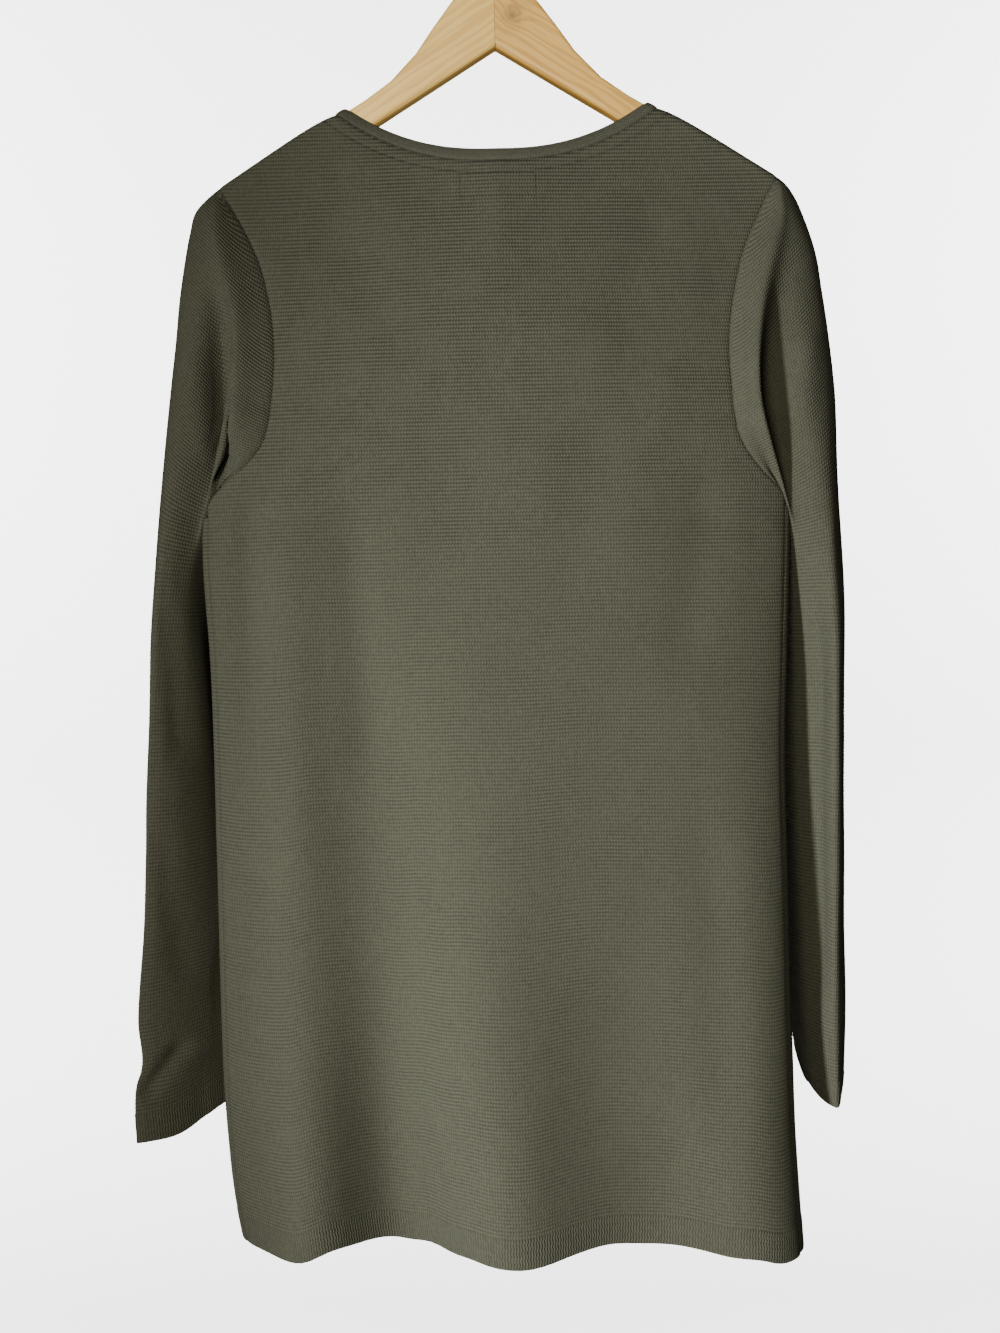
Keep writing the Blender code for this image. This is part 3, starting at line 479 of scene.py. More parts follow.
    def neck_place(self, across: float, width: float, face: Face) -> tuple[float, float]:
        """Find a place along the neck's edge.

        Args:
            across: from -1 where the neck meets the right shoulder to 1 at the left one.
            width: how far inside the seam the place is.
            face: the back or the front of the neck.

        Returns:
            Its turn and height.
        """
        drop, power = self.neck(face)
        start = self.shoulder_start - width / math.hypot(1, self.shoulder_slope)
        ridge = float(self.ridge(start))
        middle = self.shoulder_height - drop + width
        height = ridge - (ridge - middle) * (1 - abs(across) ** power)
        side = Side.LEFT if across > 0 else Side.RIGHT
        turn = float(self.turn_at(start * across, np.array(height), side))
        return (turn if face is Face.BACK else math.copysign(math.pi, across) - turn), height


@dataclass(frozen=True)
class Knit:
    """The gauge of the cloth and how its ridges and borders stand out."""

    ridge_pitch: float = 0.00265
    wale_pitch: float = 0.0020
    ridge_height: float = 0.00029
    border: float = 0.0215
    border_share: float = 0.18
    border_blend: float = 0.0012
    border_step: float = 0.0005
    step_blend: float = 0.001
    slow_wave: float = 0.0006
    quick_wave: float = 0.00028
    wave_start: float = 0.03
    rows_a_ridge: int = 4
    edge_depth: float = 0.0005
    edge_reach: float = 0.0016

    def ridges(self, along: Array) -> Array:
        """The height of the purl ridges, from 0 in a valley to 1 on a crest."""
        return 0.5 - 0.5 * np.cos(2 * math.pi * along / self.ridge_pitch)

    def relief(self, along: Array, beyond: Array, raised: Array) -> Array:
        """Work out how far the knit stands out.

        Args:
            along: distances up from the hem or cuff.
            beyond: distances from the nearest seam.
            raised: the share of the ridges that geometry carries here.

        Returns:
            The relief at each place.
        """
        border = ease((along - self.border) / self.border_blend)
        ridges = self.ridge_height * self.ridges(along) * raised
        step = self.border_step * (1 - border) * ease((self.border - along) / self.step_blend)
        seam = -self.edge_depth * np.exp(-((beyond / self.edge_reach) ** 2))
        return ridges * (self.border_share + (1 - self.border_share) * border) + step + seam

    def whole_rows(self, length: float) -> int:
        """The number of grid rows on a length of cloth, whole for the plainer inside."""
        return int(length / self.ridge_pitch * self.rows_a_ridge / ROWS_INSIDE) * ROWS_INSIDE

    def unevenness(self, across: Array, along: Array) -> Array:
        """The small uneven waves of cloth that has been worn and hung."""
        slow = np.sin(23 * across + 9 * along + 1.3) * np.sin(31 * along - 12 * across)
        quick = np.sin(61 * across - 17 * along) * np.sin(47 * along + 21 * across + 0.8)
        return self.slow_wave * slow + self.quick_wave * quick


@dataclass
class Grid:
    """A grid of cloth: rows from its lowest edge upwards and columns across it."""

    points: Array
    normals: Array
    across: Array
    along: Array
    beyond: Array
    neck: Array
    raised: Array
    open_rows: int | None = None

    def lifted(self, knit: Knit) -> Array:
        """The outer points with the relief of the knit on them."""
        relief = knit.relief(self.along, self.beyond, self.raised)
        waves = knit.unevenness(self.across, self.along) * ease(self.beyond / knit.wave_start)
        return self.points + self.normals * (relief + waves)[..., None]


@dataclass
class Run:
    """One edge of the cloth, along which the wall closes between its two sides."""

    outline: Array
    outline_places: Array
    inside: Array
    inside_places: Array
    middle: Array
    beside: Array
    stride: int


@dataclass
class ClothWall:
    """Builds a closed wall of cloth from a grid, fine outside and plainer inside."""

    name: str
    grid: Grid
    knit: Knit
    thickness: float = 0.0019
    rows_inside: int = ROWS_INSIDE
    columns_inside: int = 2
    bulge: float = 0.0007

    def build(self) -> bpy.types.Object:
        """Make the mesh object.

        Returns:
            The object, linked to the scene, with its knit map and its attributes.
        """
        grid = self.grid
        rows, columns = grid.points.shape[:2]
        places = np.arange(rows * columns).reshape(rows, columns)
        inner_rows = np.arange(0, rows, self.rows_inside)
        inner_columns = np.arange(0, columns, self.columns_inside)
        taken = places[inner_rows][:, inner_columns]
        inner_places = places.size + np.arange(taken.size).reshape(taken.shape)
        index, inner_index = places.copy(), inner_places.copy()
        if grid.open_rows is not None:
            index[grid.open_rows:, -1] = index[grid.open_rows:, 0]
            shut = inner_rows >= grid.open_rows
            inner_index[shut, -1] = inner_index[shut, 0]
        quads = np.vstack([self.quads(index), self.quads(inner_index)[:, ::-1]])
        maps = np.vstack([self.quads(places), self.quads(inner_places)[:, ::-1]])
        base = grid.points - grid.normals * self.thickness
        inner = base[inner_rows][:, inner_columns]
        middle = base + grid.normals * (self.thickness / 2)
        runs = self.runs((index, places), (inner_index, inner_places), inner_rows, middle)
        rim, rim_sources, strips, strip_maps = self.closed(runs, places.size + taken.size)
        points = np.vstack([grid.lifted(self.knit).reshape(-1, 3), inner.reshape(-1, 3), rim])
        knit_map = np.stack([grid.across.ravel(), grid.along.ravel()], axis=-1)
        knit_map = np.vstack([knit_map, knit_map[taken.ravel()], knit_map[rim_sources]])
        values = np.stack([grid.beyond.ravel(), grid.neck.ravel(), grid.raised.ravel()], axis=-1)
        values = np.vstack([values, values[taken.ravel()] * [1, 1, 0], values[rim_sources]])
        return self.mesh_of(points, quads, maps, strips, strip_maps, knit_map, values)

    def runs(self, outer: tuple[Array, Array], inner: tuple[Array, Array], inner_rows: Array,
             middle: Array) -> list[Run]:
        """Gather the edges of the grid.

        Args:
            outer: the vertex at each place of the outer side, and the number of the place.
            inner: the same for the inner side.
            inner_rows: the rows that the inner side keeps.
            middle: the points halfway through the cloth.

        Returns:
            The lowest and the highest row, then the first and the last column as far as they
            are open.
        """
        ring = self.grid.open_rows
        last = len(middle) if ring is None else ring + 1
        kept = inner_rows < last
        rows = [
            Run(outer[0][row], outer[1][row], inner[0][row], inner[1][row], middle[row],
                middle[beside], self.columns_inside)
            for row, beside in ((0, 1), (-1, -2))
        ]
        columns = [
            Run(outer[0][:last, column], outer[1][:last, column], inner[0][kept, column],
                inner[1][kept, column], middle[:last, column], middle[:last, beside], self.rows_inside)
            for column, beside in ((0, 1), (-1, -2))
        ]
        return rows + columns

    def closed(self, runs: list[Run], start: int) -> tuple[Array, list, list, list]:
        """Close the wall along its edges with a soft rim.

        Args:
            runs: the edges.
            start: the number of the first new vertex.

        Returns:
            The rim's points, the place that each takes its map from, the new faces, and the
            vertex that each of their corners takes its map from.
        """
        shared: dict[int, int] = {}
        points, sources, strips, strip_maps = [], [], [], []
        for run in runs:
            away = unit(run.middle - run.beside)
            rim = []
            for place, vertex in enumerate(run.outline.tolist()):
                if vertex not in shared:
                    shared[vertex] = start + len(points)
                    points.append(run.middle[place] + away[place] * self.bulge)
                    sources.append(int(run.outline_places[place]))
                rim.append(shared[vertex])
            for place in range(len(rim) - 1):
                edge = [rim[place + 1], rim[place]]
                strips.append([*run.outline[place:place + 2].tolist(), *edge])
                strip_maps.append([*run.outline_places[place:place + 2].tolist(), *edge])
            for cell in range(len(run.inside) - 1):
                span = rim[cell * run.stride:(cell + 1) * run.stride + 1]
                strips.append([*span, *run.inside[[cell + 1, cell]].tolist()])
                strip_maps.append([*span, *run.inside_places[[cell + 1, cell]].tolist()])
        return np.array(points), sources, strips, strip_maps

    @staticmethod
    def quads(index: Array) -> Array:
        """The four corners of each cell of a grid of vertex numbers."""
        parts = (index[:-1, :-1], index[:-1, 1:], index[1:, 1:], index[1:, :-1])
        return np.stack([part.ravel() for part in parts], axis=-1)

    def mesh_of(self, points: Array, quads: Array, maps: Array, strips: list,
                strip_maps: list, knit_map: Array, values: Array) -> bpy.types.Object:
        """Turn the gathered vertices and faces into an object with its maps.

        Args:
            points: every vertex.
            quads: corners of the faces of both sides.
            maps: the vertex that each of those corners takes its map from.
            strips: faces that close the edges.
            strip_maps: the vertex that each corner of those takes its map from.
            knit_map: the place of each vertex across and along the cloth.
            values: distance from a seam and from the neck, and the share of raised ridges.

        Returns:
            The finished object.
        """
        sources = np.concatenate([maps.ravel(), *map(np.array, strip_maps)])
        mesh = bpy.data.meshes.new(self.name)
        mesh.from_pydata(points.tolist(), [], quads.tolist() + strips)
        layer = mesh.uv_layers.new(name="knit")
        layer.data.foreach_set("uv", knit_map[sources].astype(np.float32).ravel())
        for number, name in enumerate(("seam", "neck", "raised")):
            attribute = mesh.attributes.new(name=name, type="FLOAT", domain="POINT")
            attribute.data.foreach_set("value", values[:, number].astype(np.float32))
        shape = bmesh.new()
        shape.from_mesh(mesh)
        loose = [vertex for vertex in shape.verts if not vertex.link_faces]
        bmesh.ops.delete(shape, geom=loose, context="VERTS")
        bmesh.ops.recalc_face_normals(shape, faces=shape.faces)
        shape.to_mesh(mesh)
        shape.free()
        mesh.polygons.foreach_set("use_smooth", [True] * len(mesh.polygons))
        thing = bpy.data.objects.new(self.name, mesh)
        bpy.context.scene.collection.objects.link(thing)
        LOG.info("%s has %d faces", self.name, len(mesh.polygons))
        return thing


def arc_length(points: Array, axis: int) -> Array:
    """Distances along one axis of a grid of points, from its first row or column."""
    steps = np.linalg.norm(np.diff(points, axis=axis), axis=-1)
    start = np.zeros_like(np.take(steps, [0], axis=axis))
    return np.concatenate([start, np.cumsum(steps, axis=axis)], axis=axis)


@dataclass
class Panel:
    """The back or one front of the cardigan, as a fine grid on the body's surface."""

    face: Face
    side: Side | None
    body: BodyForm
    knit: Knit
    neck_cells: int = 22
    shoulder_cells: int = 16
    shoulder_end: float = 0.95
    edge_stops: tuple[float, ...] = (0.965, 0.985, 0.994)
    neck_power: float = 1.35
    chest_rows: int = 52
    chest_power: float = 1.05
    yoke_rows: int = 20
    yoke_power: float = 1.7
    fade_start: float = 0.004
    fade_length: float = 0.04
    settling: int = 6
    corner_reach: float = 0.0004
    facing_gain: float = 1.6
    seam_start: float = 0.02
    neck_reach: float = 0.05
    neck_steps: int = 161

    def shares(self, side: Side) -> Array:
        """The columns from the middle to the armhole, closer together at the neck and the seam."""
        top = np.array(ARMHOLE.rows[-1][0])
        reach = float(BODY.read(top)[side.key])
        tip = math.asin(float(ARMHOLE.read(top)[side.key]) / reach)
        stops = 1 - (1 - np.linspace(0, 1, self.neck_cells + 1)) ** self.neck_power
        neck = np.arcsin(stops * self.body.shoulder_start / reach) / tip
        if self.face is Face.FRONT:
            middle = math.asin(self.body.front_edge_top / reach) / tip
            neck = middle + (neck - neck[0]) * (neck[-1] - middle) / (neck[-1] - neck[0])
            neck = (neck - middle) / (1 - middle)
        rest = np.linspace(neck[-1], self.shoulder_end, self.shoulder_cells + 1)[1:]
        return np.concatenate([neck, rest, self.edge_stops, [1.0]])

    def turn_of(self, share: Array, height: Array) -> Array:
        """The turn of each column at each height."""
        body = self.body
        if self.face is Face.BACK:
            left = body.armhole_turn(height, Side.LEFT, self.face)
            right = body.armhole_turn(height, Side.RIGHT, self.face)
            return share * np.where(share > 0, left, right)
        reach = BODY.read(height)[self.side.key]
        opened = ease((body.shoulder_height - height) / (body.shoulder_height - body.hem()))
        edge = body.front_edge_top + (body.front_edge_hem - body.front_edge_top) * opened
        outer = body.armhole_turn(height, self.side, self.face)
        inner = math.pi - np.arcsin(edge / reach)
        return (inner + (outer - inner) * share) * self.side.value

    def heights(self, hem_x: Array, top_x: Array) -> tuple[Array, Array, Array]:
        """Heights of the rows at each column, with their knit distances and raised ridges."""
        body = self.body
        drop = body.hem_lift_share * body.fold_offset(self.face, hem_x, np.full_like(hem_x, body.hem()))
        side = np.clip(np.abs(hem_x) / body.hem_half_width, 0, 1)
        lift = body.hem_rise - drop + body.hem_side_lift * side**body.hem_side_power
        hem = body.hem() + lift + HEM.read(hem_x)["lift"]
        length = body.relief - body.hem() - body.hem_rise
        count = self.knit.whole_rows(length)
        steps = np.arange(count)[:, None] / count
        skirt = hem + (body.relief - hem) * steps
        top = body.top(top_x, self.face)
        yoke = top - body.yoke
        chest_steps = np.arange(1, self.chest_rows + 1)[:, None] / self.chest_rows
        chest = body.crotch + (yoke - body.crotch) * chest_steps**self.chest_power
        yoke_steps = 1 - np.arange(1, self.yoke_rows + 1)[:, None] / self.yoke_rows
        upper = yoke + (top - yoke) * (1 - yoke_steps**self.yoke_power)
        start = np.stack([body.relief + 0 * hem, body.crotch + 0 * hem])
        spare = -(count + len(start) + self.chest_rows + self.yoke_rows - 1) % ROWS_INSIDE
        extra = start[1] + (chest[0] - start[1]) * np.arange(1, spare + 1)[:, None] / (spare + 1)
        heights = np.concatenate([skirt, start, extra, chest, upper])
        scale = length / (body.relief - hem)
        along = np.where(
            heights <= body.relief, (heights - hem) * scale, length + heights - body.relief
        )
        raised = ease((body.relief - self.fade_start - heights) / self.fade_length)
        return heights, along, raised

    def grid(self) -> Grid:
        """Work out the fine grid."""
        body, face = self.body, self.face
        if face is Face.BACK:
            left, right = self.shares(Side.LEFT), self.shares(Side.RIGHT)
            share = np.concatenate([-right[:0:-1], left])
        else:
            share = self.shares(self.side)
        low = np.full_like(share, body.hem())
        high = np.full_like(share, ARMHOLE.rows[-1][0])
        hem_x = body.point(self.turn_of(share, low), low)[:, 0]
        top_x = body.point(self.turn_of(share, high), high)[:, 0]
        for _ in range(self.settling):
            heights, along, raised = self.heights(hem_x, top_x)
            turns = self.turn_of(share[None, :] + 0 * heights, heights)
            top_x = body.point(turns[-1], heights[-1])[:, 0]
        corner = np.abs(np.abs(top_x) - body.shoulder_start) < self.corner_reach
        top_x = np.where(corner, np.sign(top_x) * body.shoulder_start, top_x)
        heights, along, raised = self.heights(hem_x, top_x)
        turns = self.turn_of(share[None, :] + 0 * heights, heights)
        inside = np.abs(top_x) <= body.shoulder_start + self.corner_reach
        for column in np.flatnonzero(inside):
            turns[-1, column], heights[-1, column] = body.neck_place(
                top_x[column] / body.shoulder_start, -body.neck_seam, face
            )
        points, normals = body.point(turns, heights), body.normal(turns, heights)
        seam = np.abs(top_x) >= body.shoulder_start
        points[-1, seam, 1] = face.value * body.seam
        normals[-1, seam] = body.ridge_normal(points[-1, seam, 0])
        facing = ease(np.abs(np.cos(turns)) * self.facing_gain)
        for crease in body.creases:
            if crease.face is face:
                shift = crease.offset(points[..., 0], heights, facing)
                points[..., 1] += face.value * shift
        across = arc_length(points, 1)
        across = across - across[:, [int(np.argmin(np.abs(share)))]]
        beyond, neck = self.seam_distance(points, heights, seam), self.neck_distance(points)
        for edge, beside in ((0, 1), (-1, -2)):
            if face is Face.BACK or edge == -1:
                away = unit(points[:, beside] - points[:, edge])
                points[:, edge] += away * body.seam
        return Grid(points, normals, across, along, beyond, neck, raised)

    def seam_distance(self, points: Array, heights: Array, seam: Array) -> Array:
        """Work out how far each place is from the nearest seam.

        Args:
            points: the grid.
            heights: the height of each of its places.
            seam: which columns end at the shoulder seam.

        Returns:
            The distances, none above the one that counts as nowhere near a seam.
        """
        reach, climb = arc_length(points, 1), arc_length(points, 0)
        beyond = reach[:, -1:] - reach
        if self.face is Face.BACK:
            beyond = np.minimum(beyond, reach)
        shoulder = np.where(seam, climb[-1:] - climb, NO_SEAM)
        upper = heights > self.body.crotch + self.seam_start
        return np.minimum(np.where(upper, np.minimum(beyond, shoulder), beyond), NO_SEAM)

    def neck_distance(self, points: Array) -> Array:
        """Distances from the neck's edge, measured straight across the face."""
        body = self.body
        edge_x = np.linspace(-1, 1, self.neck_steps) * body.shoulder_start
        drop, power = body.neck(self.face)
        edge_z = body.shoulder_height - drop * (1 - np.abs(edge_x / body.shoulder_start) ** power)
        near = np.flatnonzero(points[:, :, 2].max(axis=1) > body.shoulder_height - drop - self.neck_reach)
        found = np.full(points.shape[:2], NO_SEAM)
        flat = points[near][..., [0, 2]]
        apart = np.hypot(flat[..., 0, None] - edge_x, flat[..., 1, None] - edge_z).min(axis=-1)
        found[near] = np.minimum(apart, NO_SEAM)
        return found


@dataclass
class Sleeve:
    """A sleeve: an open cap round the armhole, then rings down to the cuff."""

    side: Side
    body: BodyForm
    knit: Knit
    columns: int = 64
    dense_cap: int = 60
    dense_power: float = 1.4
    dense_tube: int = 64
    cap_rows: int = 88
    cap_power: float = 1.15
    tip_drop: float = 0.0004
    cap_end: float = 0.0045
    ring_turns: tuple[float, ...] = (
        90.0, 74.0, 56.0, 40.0, 18.0, -8.0, -60.0, -120.0, -166.0, -200.0, -226.0, -250.0, -270.0,
    )
    forward: float = 0.032
    forward_top: float = -0.300
    forward_shares: tuple[float, ...] = (0.3, 0.8, 1.0, 0.75, 0.45, 0.15, 0.0)
    cap_depth: float = 0.85
    crotch: float = -0.4254
    crotch_points: int = 3
    crotch_blend: float = 0.35
    clearance: float = 0.0017
    near_shares: tuple[float, float] = (0.72, 0.62)
    outline_steps: int = 181
    lip_passes: int = 5
    armpit_passes: int = 60
    armpit_spread: float = 1.6
    armpit_rows: int = 9
    armpit_columns: int = 7
    tilt_top: float = 1.0
    tilt_end: float = -0.50
    tilt_length: float = 0.16
    tilt_middle: float = 0.215
    raised_rise: float = 0.04
    raised_length: float = 0.05
    raised_rows: int = 40
    tip_rows: int = 6
    facing_gain: float = 1.5
    cuff_reach: float = 0.06
    creases: tuple[Crease, ...] = ()
    cuff_dips: tuple[tuple[float, float, float], ...] = ()

    def seam_point(self, height: float, face: Face) -> Array:
        """A point of the sleeve's own edge at the armhole, with X measured from the middle."""
        sign = self.side.value
        turn = self.body.armhole_turn(np.array(height), self.side, face)
        inside = self.body.point(sign * turn, height)
        beyond = self.body.point(sign * (turn + face.value * self.body.step), height)
        point = inside + unit(beyond - inside) * self.body.seam
        point[0] = abs(point[0])
        return point

    def cap(self, height: float) -> Array:
        """Control points of the section above the armpit, from the back seam to the front one."""
        row = {name: float(value) for name, value in CAPS[self.side].read(np.array(height)).items()}
        lip, fold = (row["lip_x"], row["lip_y"]), (row["fold_x"], row["fold_y"])
        face, outer = (row["face_x"], row["face_y"]), (row["outer_x"], row["outer_y"])
        reach, depth = self.near_shares
        near = (face[0] + reach * (outer[0] - face[0]), outer[1] + depth * (face[1] - outer[1]))
        back = self.seam_point(height, Face.BACK)[:2]
        front = self.seam_point(height, Face.FRONT)[:2]
        body = self.body
        flat = float(ease((body.flat_end - height) / body.flat_fade))
        shallow = 1 - (1 - self.cap_depth) * flat
        swing = self.forward * float(
            ease((self.forward_top - height) / (self.forward_top - self.crotch))
        )

        def mirrored(point: tuple[float, float]) -> tuple[float, float]:
            return (point[0], outer[1] - (point[1] - outer[1]) * shallow)

        controls = [
            back, (back + np.array(lip)) / 2, lip, fold, face, near, outer, mirrored(near),
            mirrored(face), mirrored(fold), mirrored(lip), (front + np.array(mirrored(lip))) / 2, front,
        ]
        section = np.array([[x, y, height] for x, y in controls])
        section[-len(self.forward_shares):, 1] -= swing * np.array(self.forward_shares)
        return section

    def tube(self, height: float) -> Array:
        """Control points of the flattened ring at a height below the armpit."""
        row = {name: float(value) for name, value in TUBES[self.side].read(np.array(height)).items()}
        turn = math.radians(row["turn"])
        wide, thick = row["half_width"], row["half_thickness"]
        reach = math.hypot(wide * math.cos(turn), thick * math.sin(turn))
        angles = np.radians(self.ring_turns)
        along, beside = wide * np.cos(angles), thick * np.sin(angles)
        x = row["outer"] - reach + along * math.cos(turn) - beside * math.sin(turn)
        y = row["y"] + along * math.sin(turn) + beside * math.cos(turn)
        return np.stack([x, y, height - row["dip"] * np.cos(angles)], axis=-1)

    def armpit_section(self, lowest_cap: float) -> Array:
        """Control points where the two edges meet and the ring closes."""
        above = self.cap(lowest_cap)
        below = self.tube(TUBES[self.side].rows[-1][0])
        controls = above + (below - above) * self.crotch_blend
        side = float(BODY.read(np.array(self.crotch))[self.side.key]) + self.clearance
        places = np.arange(len(controls))
        share = ease((np.minimum(places, places[::-1]) - 0.5) / self.crotch_points)
        controls[:, 0] = side + (controls[:, 0] - side) * share
        controls[:, 1] *= share
        controls[:, 2] = self.crotch
        return controls

    @staticmethod
    def curve(controls: Array, shares: Array) -> Array:
        """Points on a smooth curve through control points."""
        count = len(controls) - 1
        place = np.clip(shares * count, 0, count)
        cell = np.minimum(place.astype(int), count - 1)
        return read_between(controls, np.gradient(controls, axis=0), cell, (place - cell)[:, None])

    def beside_body(self, points: Array) -> Array:
        """Move a row out to where it rests against the body's side."""
        turns = np.linspace(0, math.pi, self.outline_steps) * self.side.value
        outline = self.body.point(turns, points[:, 2].mean())[::-1]
        limit = np.interp(
            points[:, 1], outline[:, 1], np.abs(outline[:, 0]) + self.clearance, left=0, right=0
        )
        moved = points.copy()
        moved[:, 0] = np.maximum(points[:, 0], limit)
        return moved

    def dense_rows(self) -> Array:
        """Work out smooth rows from the shoulder tip past the armpit and down to the cuff."""
        shares = np.linspace(0, 1, self.columns + 1)
        top = float(self.body.ridge(ARMHOLE.rows[-1][1])) - self.tip_drop
        lowest = self.body.crotch + self.cap_end
        caps = top + (lowest - top) * np.linspace(0, 1, self.dense_cap) ** self.dense_power
        table = TUBES[self.side].rows
        tubes = np.linspace(table[-1][0], table[0][0], self.dense_tube)
        sections = [self.curve(self.cap(height), shares) for height in caps]
        sections.append(self.beside_body(self.curve(self.armpit_section(lowest), shares)))
        sections.extend(self.beside_body(self.curve(self.tube(height), shares)) for height in tubes)
        dense = np.array(sections)
        dense[self.dense_cap:, -1] = dense[self.dense_cap:, 0]
        return self.softened(dense, self.dense_cap)

    def grid(self) -> Grid:
        """Work out the fine grid, from the shoulder tip down to the cuff."""
        dense, ring, cap_rows = self.dense_rows(), self.dense_cap, self.cap_rows
        length = arc_length(dense, 0).mean(axis=1)
        below = length[-1] - length[ring]
        count = self.knit.whole_rows(below)
        goals = np.concatenate([
            length[ring] * np.linspace(0, 1, cap_rows, endpoint=False) ** self.cap_power,
            length[ring] + below * np.linspace(0, 1, count + 1),
        ])
        points = self.along_rows(dense, length, goals, ring)
        along = (length[-1] - goals)[:, None] + 0 * points[..., 0]
        along[:cap_rows] = along[cap_rows] + points[:cap_rows, :, 2] - points[cap_rows, :, 2]
        along = self.tilted(points, along)
        for middle, width, depth in self.cuff_dips:
            bell = np.exp(-0.5 * ((points[..., 0] - middle) / width) ** 2)
            points[..., 2] -= depth * bell * ease(1 - along / self.cuff_reach)
        points[cap_rows:, -1] = points[cap_rows:, 0]
        if self.side is Side.RIGHT:
            points[..., 0] *= -1
        normals = self.normals(points)
        facings = {face: ease(face.value * normals[..., 1] * self.facing_gain) for face in Face}
        for crease in self.creases:
            shift = crease.offset(points[..., 0], points[..., 2], facings[crease.face])
            shift[:cap_rows + 1, (0, -1)] = 0
            points = points + normals * shift[..., None]
        reach = arc_length(points, 1)
        across = reach - reach[:, [self.columns // 2]]
        beyond = np.minimum(reach, reach[:, -1:] - reach)
        beyond[cap_rows:] = NO_SEAM
        fade = ease((np.arange(len(points)) - cap_rows) / self.raised_rows)[:, None]
        raised = fade * ease((self.tilt_end + self.raised_rise - points[..., 2]) / self.raised_length)
        neck = np.full(along.shape, NO_SEAM)
        return Grid(points, normals, across, along, beyond, neck, raised, cap_rows)

    def normals(self, points: Array) -> Array:
        """Outward directions, which agree with the body's own at the armhole and the shoulder."""
        body, cap_rows = self.body, self.cap_rows
        normals = self.directions(points, cap_rows)
        for row, height in enumerate(points[:cap_rows, 0, 2]):
            for column, face in ((0, Face.BACK), (-1, Face.FRONT)):
                turn = body.armhole_turn(np.array(height), self.side, face)
                normals[row, column] = body.normal(self.side.value * turn, height)
        tip = body.ridge_normal(points[0, 1:-1, 0])
        for row in range(self.tip_rows):
            share = 1 - row / self.tip_rows
            normals[row, 1:-1] = unit(normals[row, 1:-1] * (1 - share) + tip * share)
        normals[cap_rows, (0, -1), :] = (0, 0, -1)
        return normals

    def softened(self, dense: Array, ring: int) -> Array:
        """Round the lip of the fold beside the armhole, and ease the change at the armpit."""
        points = dense.copy()
        for _ in range(self.lip_passes):
            inner = (points[:ring, :-2] + 2 * points[:ring, 1:-1] + points[:ring, 2:]) / 4
            points[:ring, 1:-1] = inner
        rows = np.arange(len(points))[:, None, None]
        columns = np.arange(points.shape[1])
        beside = np.minimum(columns, columns[::-1])
        share = ease((beside - 1) / self.armpit_columns)[None, :, None]
        share = share * ease(self.armpit_spread - np.abs(rows - ring) / self.armpit_rows)
        for _ in range(self.armpit_passes):
            middle = (points[:-2] + 2 * points[1:-1] + points[2:]) / 4
            points[1:-1] += (middle - points[1:-1]) * share[1:-1]
        return points

    @staticmethod
    def along_rows(dense: Array, length: Array, goals: Array, ring: int) -> Array:
        """Read rows of a dense grid at chosen lengths, smooth on each side of the armpit."""
        parts = []
        for first, last, wanted in (
            (0, ring, goals[goals < length[ring]]), (ring, len(dense) - 1, goals[goals >= length[ring]]),
        ):
            block, places = dense[first:last + 1], length[first:last + 1]
            slopes = np.gradient(block, places, axis=0)
            cell = np.clip(np.searchsorted(places, wanted, side="right") - 1, 0, len(places) - 2)
            span = (places[cell + 1] - places[cell])[:, None, None]
            share = (wanted - places[cell])[:, None, None] / span
            parts.append(read_between(block, slopes, cell, share, span))
        return np.concatenate(parts)

    def tilted(self, points: Array, along: Array) -> Array:
        """Lean the courses of the knit near the armhole, as they lie on a set-in sleeve."""
        height = points[..., 2]
        lean = self.tilt_top * ease((height - self.tilt_end) / self.tilt_length)
        return along - lean * (np.abs(points[..., 0]) - self.tilt_middle)

    @staticmethod
    def directions(points: Array, ring: int, passed: int = 20) -> Array:
        """Outward directions square to a grid that is closed below its armpit row.

        Args:
            points: the grid.
            ring: its armpit row.
            passed: rows below that one that don't help to tell which way is outward.

        Returns:
            The directions.
        """
        across = np.gradient(points, axis=1)
        closed = points[ring:, 1] - points[ring:, -2]
        across[ring:, 0] = closed
        across[ring:, -1] = closed
        normals = np.cross(across, np.gradient(points, axis=0))
        joined = normals[ring:, 0] + normals[ring:, -1]
        normals[ring:, 0] = joined
        normals[ring:, -1] = joined
        middle = points.mean(axis=1, keepdims=True)
        outward = np.sum(normals * (points - middle), axis=-1)[ring + passed:].mean()
        return unit(normals) * math.copysign(1.0, outward)


